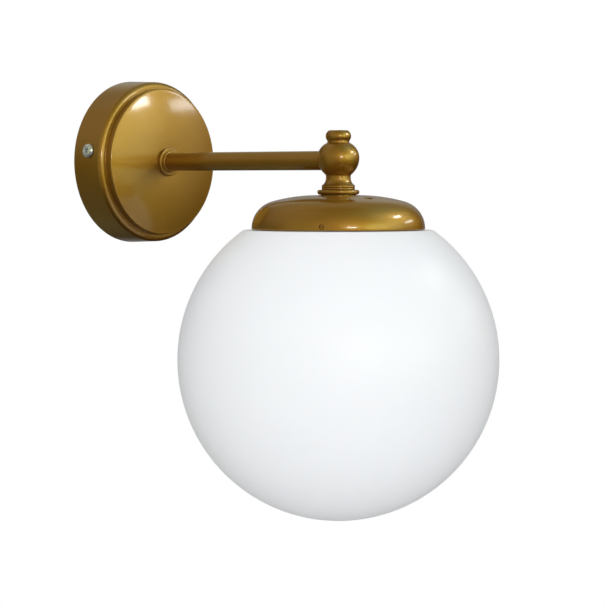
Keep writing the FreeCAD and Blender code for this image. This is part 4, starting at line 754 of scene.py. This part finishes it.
@dataclass
class Knuckle:
    """Ball with its flared neck, the finial above and the rings below."""

    gold: Material
    bore_r: float = 5.05
    top: float = 11.4
    top_lip: float = 0.4
    top_r: float = 6.95
    ball_r: float = 13.05
    widest: float = 1.6
    drop: float = 9.1
    neck_r: float = 7.72
    neck_length: float = 1.9
    flare: float = 2.5
    flare_height: float = 4.3
    neck_lip: float = 0.3
    neck_edge: float = 0.1
    crease_rise: float = 0.42
    crease_start: float = 0.75
    crease_arc: float = 1.8
    finial_gap: float = 0.05
    finial_neck_r: float = 6.85
    finial_neck_height: float = 0.8
    finial_bulge: float = 8.0
    finial_top_r: float = 6.1
    finial_height: float = 7.2
    finial_foot: float = 0.02
    finial_lean: float = 0.12
    finial_edge: float = 0.5
    finial_edge_rise: float = 0.3
    finial_edge_r: float = 0.6
    collar_r: float = 10.4
    collar_height: float = 2.6
    bead: float = 0.4
    flange_r: float = 13.1
    flange_top_r: float = 12.2
    flange_low_r: float = 11.8
    flange_widest: float = 1.3
    flange_height: float = 3.0
    foot_height: float = 0.3
    foot_r: float = 11.0
    ring_bore_r: float = 5.15

    @property
    def neck_foot(self) -> float:
        """Height of the flared neck's foot, from the arm's axis."""
        return -(self.drop + self.neck_length + self.flare_height + self.neck_lip)

    def build(self) -> None:
        """Turn the four pieces."""
        self.make_ball()
        self.make_finial()
        self.make_rings()

    def make_ball(self) -> None:
        """The ball with its flared neck."""
        foot = self.neck_foot
        flare_r = self.neck_r + self.flare
        flare_arc = arc_radius(2 * self.flare_height, self.flare)
        shoulder = self.top - self.top_lip
        crease_r, crease = self.neck_r + self.crease_rise, self.crease_rise - self.drop
        lower = arc_radius(2 * (self.widest - crease), self.ball_r - crease_r)
        upper = arc_radius(2 * (shoulder - self.widest), self.ball_r - self.top_r)
        path = Outline().to(self.bore_r, foot).to(flare_r - self.neck_edge, foot)
        path.to(flare_r, foot + self.neck_edge).to(flare_r, foot + self.neck_lip)
        path.arc(self.neck_r, -(self.drop + self.neck_length), flare_arc, RIGHT)
        path.to(self.neck_r, -self.drop - self.crease_start)
        path.arc(crease_r, crease, self.crease_arc, RIGHT)
        path.arc(self.ball_r, self.widest, lower, LEFT)
        path.arc(self.top_r, shoulder, upper, LEFT)
        path.to(self.top_r, self.top).to(self.bore_r, self.top)
        stand_for(turn("knuckle_turned_ball", path, STEM), "knuckle_ball", self.gold)

    def make_finial(self) -> None:
        """The button on top."""
        foot = self.top + self.finial_gap
        neck_top = foot + self.finial_neck_height
        top = foot + self.finial_height
        rise = self.finial_bulge - (self.finial_neck_r + self.finial_top_r) / 2
        bulge = arc_radius(self.finial_height - self.finial_neck_height, rise)
        foot += self.finial_foot
        path = Outline().to(0, foot).to(self.finial_neck_r, foot)
        path.to(self.finial_neck_r, neck_top)
        path.arc(self.finial_top_r + self.finial_lean, top - self.finial_edge_rise, bulge, LEFT)
        path.arc(self.finial_top_r - self.finial_edge, top, self.finial_edge_r, LEFT)
        path.to(self.finial_top_r / 2, top).to(0, top)
        stand_for(turn("finial_button", path, STEM), "finial", self.gold, "finial")

    def make_rings(self) -> None:
        """The collar with two beads and the flange on the cap."""
        top = self.neck_foot
        groove_r = self.collar_r - self.bead
        half = self.collar_height / 2
        bead = arc_radius(half, self.bead)
        path = Outline().to(self.ring_bore_r, top - self.collar_height)
        path.to(groove_r, top - self.collar_height)
        path.arc(groove_r, top - half, bead, LEFT)
        path.arc(groove_r, top, bead, LEFT)
        path.to(self.ring_bore_r, top)
        stand_for(turn("stem_beaded_collar", path, STEM), "stem_collar", self.gold)

        top -= self.collar_height
        low = top - self.flange_height
        widest = top - self.flange_widest
        under = arc_radius(2 * (widest - low), self.flange_r - self.flange_low_r)
        over = arc_radius(2 * self.flange_widest, self.flange_r - self.flange_top_r)
        path = Outline().to(self.ring_bore_r, low - self.foot_height)
        path.to(self.foot_r, low - self.foot_height).to(self.foot_r, low).to(self.flange_low_r, low)
        path.arc(self.flange_r, widest, under, LEFT)
        path.arc(self.flange_top_r, top, over, LEFT)
        path.to(self.ring_bore_r, top)
        stand_for(turn("cap_beaded_flange", path, STEM), "cap_flange", self.gold)


@dataclass
class Cap:
    """Spun dome that carries the globe, with its vents, its screw holes and the ring inside it."""

    gold: Material
    top: float = -21.5
    seat_r: float = 13.0
    rim_r: float = 53.9
    crown_rise: float = 3.2
    shoulder_r: float = 17.5
    rim_land: float = 0.6
    rim_edge: float = 0.8
    rim_edge_r: float = 0.75
    inner_edge: float = 0.1
    sheet: float = 1.0
    hole_r: float = 5.15
    vent_r: float = 2.7
    vent_place_r: float = 31.5
    vent_angle: float = 256.6
    screw_rise: float = 2.5
    screw_hole_r: float = 1.6
    hole_edge: float = 0.15
    hole_flare: float = 0.45
    drill_over: float = 0.3
    drill_length: float = 3.0
    screw_angles: tuple[float, ...] = (90, 210, 330)

    @property
    def height(self) -> float:
        """Height of the whole dome."""
        return self.crown_rise + self.shoulder_r + self.rim_land

    @property
    def screw_level(self) -> float:
        """Height of the neck screws."""
        return self.top - self.height + self.screw_rise

    @property
    def crown_r(self) -> float:
        """Radius of the crown's arc, which meets the flat top and the shoulder smoothly."""
        span = self.rim_r - self.shoulder_r - self.seat_r
        low = self.crown_rise + self.shoulder_r
        return (low ** 2 + span ** 2 - self.shoulder_r ** 2) / (2 * self.crown_rise)

    def outline(self) -> Outline:
        """Half section of the dome, inside first."""
        span = self.rim_r - self.shoulder_r - self.seat_r
        low = self.crown_rise + self.shoulder_r
        crown = self.crown_r
        reach = crown - self.shoulder_r
        across = span / reach
        drop = (crown - low) / reach
        inner = crown - self.sheet
        top = self.top
        rim = top - self.height
        path = Outline().to(self.hole_r, top - self.sheet).to(self.seat_r, top - self.sheet)
        path.arc(self.seat_r + across * inner, top + drop * inner - crown, inner, RIGHT)
        path.arc(self.rim_r - self.sheet, top - low, self.shoulder_r - self.sheet, RIGHT)
        path.to(self.rim_r - self.sheet, rim + self.inner_edge)
        path.to(self.rim_r - self.rim_edge, rim)
        path.arc(self.rim_r, top - low, self.rim_edge_r, LEFT)
        path.arc(self.seat_r + across * crown, top + drop * crown - crown, self.shoulder_r, LEFT)
        path.arc(self.seat_r, top, crown, LEFT)
        path.to(self.hole_r, top)
        return path

    def build(self) -> None:
        """Turn the dome, drill it, and dress what belongs to it."""
        dome = turn("cap_spun_dome", self.outline(), STEM, RIM_STEPS)
        lean = (self.vent_place_r - self.seat_r) / self.crown_r
        fall = self.crown_r * (1 - math.sqrt(1 - lean ** 2))
        for angle in (self.vent_angle, self.vent_angle + 180):
            out = self.way(angle)
            place = STEM.place(0, self.top - fall) + out * self.vent_place_r * MM
            self.drill(dome, place, (Vector((0, 0, 1)) + out * lean).normalized(), self.vent_r)
        for angle in self.screw_angles:
            out = self.way(angle)
            place = STEM.place(0, self.screw_level) + out * self.rim_r * MM
            self.drill(dome, place, out, self.screw_hole_r)
        settle(dome)
        stand_for(dome, "globe_cap", self.gold)
        soften(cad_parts["rim_ring"])
        dress(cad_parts["rim_ring"], self.gold)

    def way(self, degrees: float) -> Vector:
        """Level direction at an angle from +X."""
        turned = math.radians(degrees)
        return Vector((math.cos(turned), math.sin(turned), 0))

    def drill(self, dome: Object, place: Vector, out: Vector, radius: float) -> None:
        """Cut a hole through the sheet, with its outer edge broken.

        Args:
            dome: the dome.
            place: where the hole's axis meets the surface, in metres.
            out: direction in which the surface faces there.
            radius: radius of the hole.
        """
        path = Outline().to(0, -self.drill_length).to(radius, -self.drill_length)
        path.to(radius, -self.hole_edge).to(radius + self.hole_flare, self.drill_over)
        path.to(0, self.drill_over)
        axis = Axis(place, out, out.orthogonal().normalized())
        cut_away(dome, turn("drill", path, axis, HOLE_STEPS))


@dataclass
class NeckScrews:
    """Three slotted set screws, sunk a little into the dome's rim."""

    gold: Material
    cap: Cap
    shank_r: float = 1.5
    edge: float = 0.2
    start: float = 49.6
    tip_r: float = 0.9
    tip_length: float = 0.6
    sink: float = 0.8
    slot: float = 0.9
    slot_depth: float = 1.6
    bodies: tuple[str, ...] = ("neck_screw_back", "neck_screw_front_left", "neck_screw_front_right")

    def build(self) -> None:
        """Model and dress each screw on its own body."""
        for number, (angle, body) in enumerate(zip(self.cap.screw_angles, self.bodies), start=1):
            screw = self.make_screw(number, self.cap.way(angle))
            stand_for(screw, f"neck_screw_{number}", self.gold, body)

    def make_screw(self, number: int, out: Vector) -> Object:
        """Turn one screw and cut its slot.

        Args:
            number: the screw's number.
            out: direction in which its slotted end points.

        Returns:
            The screw.
        """
        axis = Axis(STEM.place(0, self.cap.screw_level), out, Vector((0, 0, 1)))
        end = self.cap.rim_r - self.sink
        path = Outline().to(0, self.start).to(self.tip_r, self.start)
        path.to(self.shank_r, self.start + self.tip_length).to(self.shank_r, end - self.edge)
        path.to(self.shank_r - self.edge, end).to(0, end)
        screw = turn(f"neck_set_screw_{number}", path, axis, HOLE_STEPS)
        deselect_all()
        bpy.ops.mesh.primitive_cube_add(
            size=2, location=axis.place(0, end), rotation=out.to_track_quat("X", "Z").to_euler()
        )
        bar = bpy.context.object
        bar.scale = Vector((self.slot_depth, 2 * self.shank_r, self.slot / 2)) * MM
        cut_away(screw, bar)
        settle(screw)
        return screw


@dataclass
class Globe:
    """Blown glass globe with a flat shoulder and a short neck."""

    satin: Material
    radius: float = 100.0
    glass: float = 3.0
    shoulder_r: float = 59.0
    corner_r: float = 2.0
    neck_r: float = 49.5
    neck_height: float = 9.3
    cove_r: float = 1.0
    lip_r: float = 0.9
    rim: float = -42.8
    gap: float = 0.3

    def build(self) -> None:
        """Turn the globe."""
        rise = math.sqrt(self.radius ** 2 - self.shoulder_r ** 2)
        centre = self.rim - self.gap - rise
        inner = self.radius - self.glass
        corner_x = math.sqrt((self.radius - self.corner_r) ** 2 - (rise - self.corner_r) ** 2)
        share = self.radius / (self.radius - self.corner_r)
        shoulder = centre + rise
        top = shoulder + self.neck_height
        neck_inner = self.neck_r - self.glass
        path = Outline().to(0, centre - self.radius)
        path.arc(self.radius, centre, self.radius, LEFT)
        path.arc(corner_x * share, centre + (rise - self.corner_r) * share, self.radius, LEFT)
        path.arc(corner_x, shoulder, self.corner_r, LEFT)
        path.to(self.neck_r + self.cove_r, shoulder)
        path.arc(self.neck_r, shoulder + self.cove_r, self.cove_r, RIGHT)
        path.to(self.neck_r, top - self.lip_r)
        path.arc(self.neck_r - self.lip_r, top, self.lip_r, LEFT)
        path.to(neck_inner + self.lip_r, top)
        path.arc(neck_inner, top - self.lip_r, self.lip_r, LEFT)
        path.to(neck_inner, shoulder - self.glass)
        inner_corner = math.sqrt(inner ** 2 - (rise - self.glass) ** 2)
        path.to(inner_corner, shoulder - self.glass)
        path.arc(inner, centre, inner, RIGHT)
        path.arc(0, centre - inner, inner, RIGHT)
        globe = turn("glass_blown_globe", path, STEM, RIM_STEPS)
        stand_for(globe, "glass_globe", self.satin, "globe")


@dataclass
class InnerNodes:
    """CAD nodes whose shape is right, which only need their finish."""

    zinc: Material

    def build(self) -> None:
        """Soften and dress each node."""
        finishes: dict[Material, tuple[str, ...]] = {
            self.zinc: (
                "wall_bracket", "earth_screw", "earth_washer", "terminal_clamp_screws",
                "terminal_fixing_screw", "arm_nut", "arm_washer", "arm_nipple", "knuckle_nipple",
                "finial_stud", "stem_nipple", "cap_washer", "cap_nut", "holder_bridge",
                "holder_bridge_screws", "holder_terminal_screws",
            ),
            NICKEL.build(): ("earth_tag", "bulb_cap", "bulb_contact"),
            BRASS.build(): (
                "terminal_sleeves", "holder_shell", "holder_contact", "holder_terminals",
                "holder_rivets",
            ),
            ALUMINIUM.build(): ("bulb_board",),
            RUBBER.build(): ("cable_bushing",),
            WHITE_PLASTIC.build(): ("terminal_block", "bulb_housing"),
            DIFFUSER.build(): ("bulb_diffuser",),
            CERAMIC.build(): ("holder_body",),
            BLACK_GLASS.build(): ("bulb_insulator",),
            BROWN_LEAD.build(): ("lead_live",),
            BLUE_LEAD.build(): ("lead_neutral",),
            StripedInsulation().build(): ("lead_earth",),
        }
        for material, nodes in finishes.items():
            for name in nodes:
                soften(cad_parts[name])
                dress(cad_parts[name], material)
                log.info("%s dressed in %s", name, material.name)


@dataclass(frozen=True)
class Way:
    """A direction in shares to the camera's right, towards the camera and up."""

    right: float
    nearer: float
    up: float

    def vector(self, heading: float) -> Vector:
        """The direction in the frame's axes.

        Args:
            heading: the camera's heading, in degrees from +Y towards +X.

        Returns:
            A unit vector.
        """
        turned = math.radians(heading)
        right = Vector((math.cos(turned), -math.sin(turned), 0))
        nearer = Vector((-math.sin(turned), -math.cos(turned), 0))
        return (right * self.right + nearer * self.nearer + Vector((0, 0, self.up))).normalized()


@dataclass(frozen=True)
class Glow:
    """A part of the room that glossy surfaces mirror. It starts at this cosine from its direction."""

    way: Way
    start: float
    colour: Colour


@dataclass(frozen=True)
class Softbox:
    """A soft rectangular lamp. Its size is in metres and its power in watts."""

    name: str
    way: Way
    distance: float
    width: float
    height: float
    power: float
    mirrored: bool


@dataclass
class Studio:
    """Camera, floor, world and lamps."""

    camera_place: tuple[float, float, float] = (-1.12876, -1.15555, -0.01254)
    target: tuple[float, float, float] = (0, -0.14, -0.06)
    heading: float = 48.368
    down: float = 2.905
    lens: float = 142.8
    sensor: float = 36.0
    nearest: float = 0.05
    farthest: float = 50.0
    floor_level: float = -0.62
    floor_r: float = 1.7
    floor_colour: Colour = (0.86, 0.86, 0.86)
    room_light: float = 0.77
    room_dark: Colour = (0.04, 0.012, 0.004)
    glows: tuple[Glow, ...] = (
        Glow(Way(0.29, 0.94, 0.15), 0.965, (1.3, 1.4, 0.9)),
        Glow(Way(0.77, 0.64, 0.14), 0.93, (2.8, 3.0, 1.2)),
        Glow(Way(0.97, 0.26, 0.14), 0.93, (1.2, 1.3, 0.7)),
        Glow(Way(0.98, -0.17, 0.14), 0.93, (0.28, 0.16, 0.15)),
        Glow(Way(0.82, -0.57, 0.14), 0.93, (0.21, 0.12, 0.02)),
        Glow(Way(0.98, 0.17, 0.65), 0.90, (0.77, 0.60, 0.24)),
        Glow(Way(0.8, 0, 0.6), 0.70, (0.20, 0.50, 0.45)),
        Glow(Way(-0.7, 0.7, 0), 0.70, (0.46, 0.47, 0.19)),
        Glow(Way(-0.75, 0, 0.65), 0.70, (0.43, 0.39, 0.24)),
        Glow(Way(-0.72, -0.4, -0.4), 0.70, (0.15, 0.18, 0.10)),
        Glow(Way(0, 1, 0.35), 0.70, (0.36, 0.20, 0.10)),
        Glow(Way(0, 0.65, 0.75), 0.70, (0.20, 0.25, 0.10)),
        Glow(Way(0, 0, 1), 0.70, (0.17, 0.12, 0.03)),
        Glow(Way(0, -0.65, 0.75), 0.70, (0.34, 0.35, 0.24)),
        Glow(Way(0, -1, 0.1), 0.78, (0.20, 0.22, 0.24)),
        Glow(Way(-0.25, -0.72, -0.65), 0.80, (0.030, 0.050, 0.036)),
    )
    lamps: tuple[Softbox, ...] = (
        Softbox("front_soft", Way(0.08, 1, 0.08), 2.2, 1.0, 1.0, 16, mirrored=False),
        Softbox("top_soft", Way(0.12, 0.1, 1), 1.6, 0.3, 0.3, 2.2, mirrored=False),
        Softbox("front_spot", Way(0.29, 0.94, 0.15), 2.2, 0.45, 0.20, 6.5, mirrored=True),
        Softbox("near_window", Way(0.387, 0.003, 0.25), 0.46, 0.09, 0.03, 0.24, mirrored=True),
        Softbox("far_window", Way(0.885, -0.31, 0.29), 2.0, 0.62, 0.13, 2.0, mirrored=True),
    )

    def build(self) -> None:
        """Make everything around the lamp."""
        self.make_camera()
        self.make_floor()
        self.make_world()
        for lamp in self.lamps:
            self.add_lamp(lamp)

    def make_camera(self) -> None:
        """Camera at the photograph's viewing angle."""
        lens = bpy.data.cameras.new("view")
        lens.lens = self.lens
        lens.sensor_width = self.sensor
        lens.clip_start, lens.clip_end = self.nearest, self.farthest
        camera = bpy.data.objects.new("view", lens)
        camera.location = self.camera_place
        camera.rotation_euler = (math.radians(90 - self.down), 0, -math.radians(self.heading))
        bpy.context.scene.collection.objects.link(camera)
        bpy.context.scene.camera = camera

    def make_floor(self) -> None:
        """Pale round floor under the lamp."""
        deselect_all()
        bpy.ops.mesh.primitive_circle_add(
            vertices=PLAIN_STEPS, radius=self.floor_r, fill_type="NGON",
            location=(0, STEM.centre.y, self.floor_level),
        )
        floor = bpy.context.object
        floor.name = "floor"
        settle(floor)
        dress(floor, Finish(
            "floor_paper", ground=self.floor_colour, cloud=self.floor_colour, speck=self.floor_colour,
            roughness=0.9, bump=0.001,
        ).build())
        floor.visible_glossy = False

    def make_world(self) -> None:
        """White backdrop for the camera, even light on the lamp, and a room that mirrors in it."""
        world = bpy.data.worlds.new("studio")
        bpy.context.scene.world = world
        world.use_nodes = True
        tree = world.node_tree
        tree.nodes.clear()
        direction = add_node(tree, "TexCoord", {}).outputs["Generated"]
        mirrored = add_node(tree, "Background", {"Color": self.add_room(tree, direction)})
        even = add_node(tree, "Background", {"Color": WHITE, "Strength": self.room_light})
        backdrop = add_node(tree, "Background", {"Color": WHITE})
        rays = add_node(tree, "LightPath", {}).outputs
        gloss = add_node(tree, "Math", {
            0: rays["Is Glossy Ray"], 1: rays["Is Transmission Ray"],
        }, operation="MAXIMUM")
        lit = add_node(tree, "MixShader", {
            0: gloss.outputs["Value"], 1: even.outputs[0], 2: mirrored.outputs[0],
        })
        seen = add_node(tree, "MixShader", {
            0: rays["Is Camera Ray"], 1: lit.outputs[0], 2: backdrop.outputs[0],
        })
        add_node(tree, "OutputWorld", {"Surface": seen.outputs[0]})

    def add_room(self, tree: NodeTree, direction: NodeSocket) -> NodeSocket:
        """Add the colours of the mirrored room.

        Args:
            tree: node tree of the world.
            direction: socket that gives the ray's direction.

        Returns:
            The socket that gives the room's colour.
        """
        colour = add_node(tree, "RGB", {}).outputs[0]
        colour.default_value = (*self.room_dark, 1)
        for glow in self.glows:
            towards = add_node(tree, "VectorMath", {
                0: direction, 1: glow.way.vector(self.heading),
            }, operation="DOT_PRODUCT")
            share = add_node(tree, "MapRange", {
                "Value": towards.outputs["Value"], "From Min": glow.start,
            }, interpolation_type="SMOOTHSTEP")
            layer = add_node(tree, "Mix", {
                "Factor": share.outputs["Result"], "A": colour, "B": (*glow.colour, 1),
            }, data_type="RGBA", blend_type="ADD", clamp_factor=True)
            colour = layer.outputs["Result"]
        return colour

    def add_lamp(self, softbox: Softbox) -> None:
        """Add one lamp, aimed at the target, for matt surfaces or for the highlights."""
        direction = softbox.way.vector(self.heading)
        light = bpy.data.lights.new(softbox.name, "AREA")
        light.shape = "RECTANGLE"
        light.size, light.size_y = softbox.width, softbox.height
        light.energy = softbox.power
        lamp = bpy.data.objects.new(softbox.name, light)
        lamp.location = Vector(self.target) + direction * softbox.distance
        lamp.rotation_mode = "QUATERNION"
        lamp.rotation_quaternion = direction.to_track_quat("Z", "Y")
        lamp.visible_camera = False
        lamp.visible_diffuse = not softbox.mirrored
        lamp.visible_glossy = softbox.mirrored
        bpy.context.scene.collection.objects.link(lamp)


def main() -> None:
    """Build the lamp's looks and the studio."""
    logging.basicConfig(level=logging.INFO, format="%(message)s")
    bpy.context.scene.view_settings.view_transform = "Standard"
    gold, zinc = GOLD.build(), ZINC.build()
    Studio().build()
    canopy = Canopy(gold)
    cap = Cap(gold)
    lamp = (
        canopy, SideScrews(zinc, canopy), Arm(gold), Knuckle(gold), cap, NeckScrews(gold, cap),
        Globe(SATIN_GLASS.build()), InnerNodes(zinc),
    )
    for assembly in lamp:
        assembly.build()
        log.info("%s built", type(assembly).__name__)


if __name__ == "__main__":
    main()
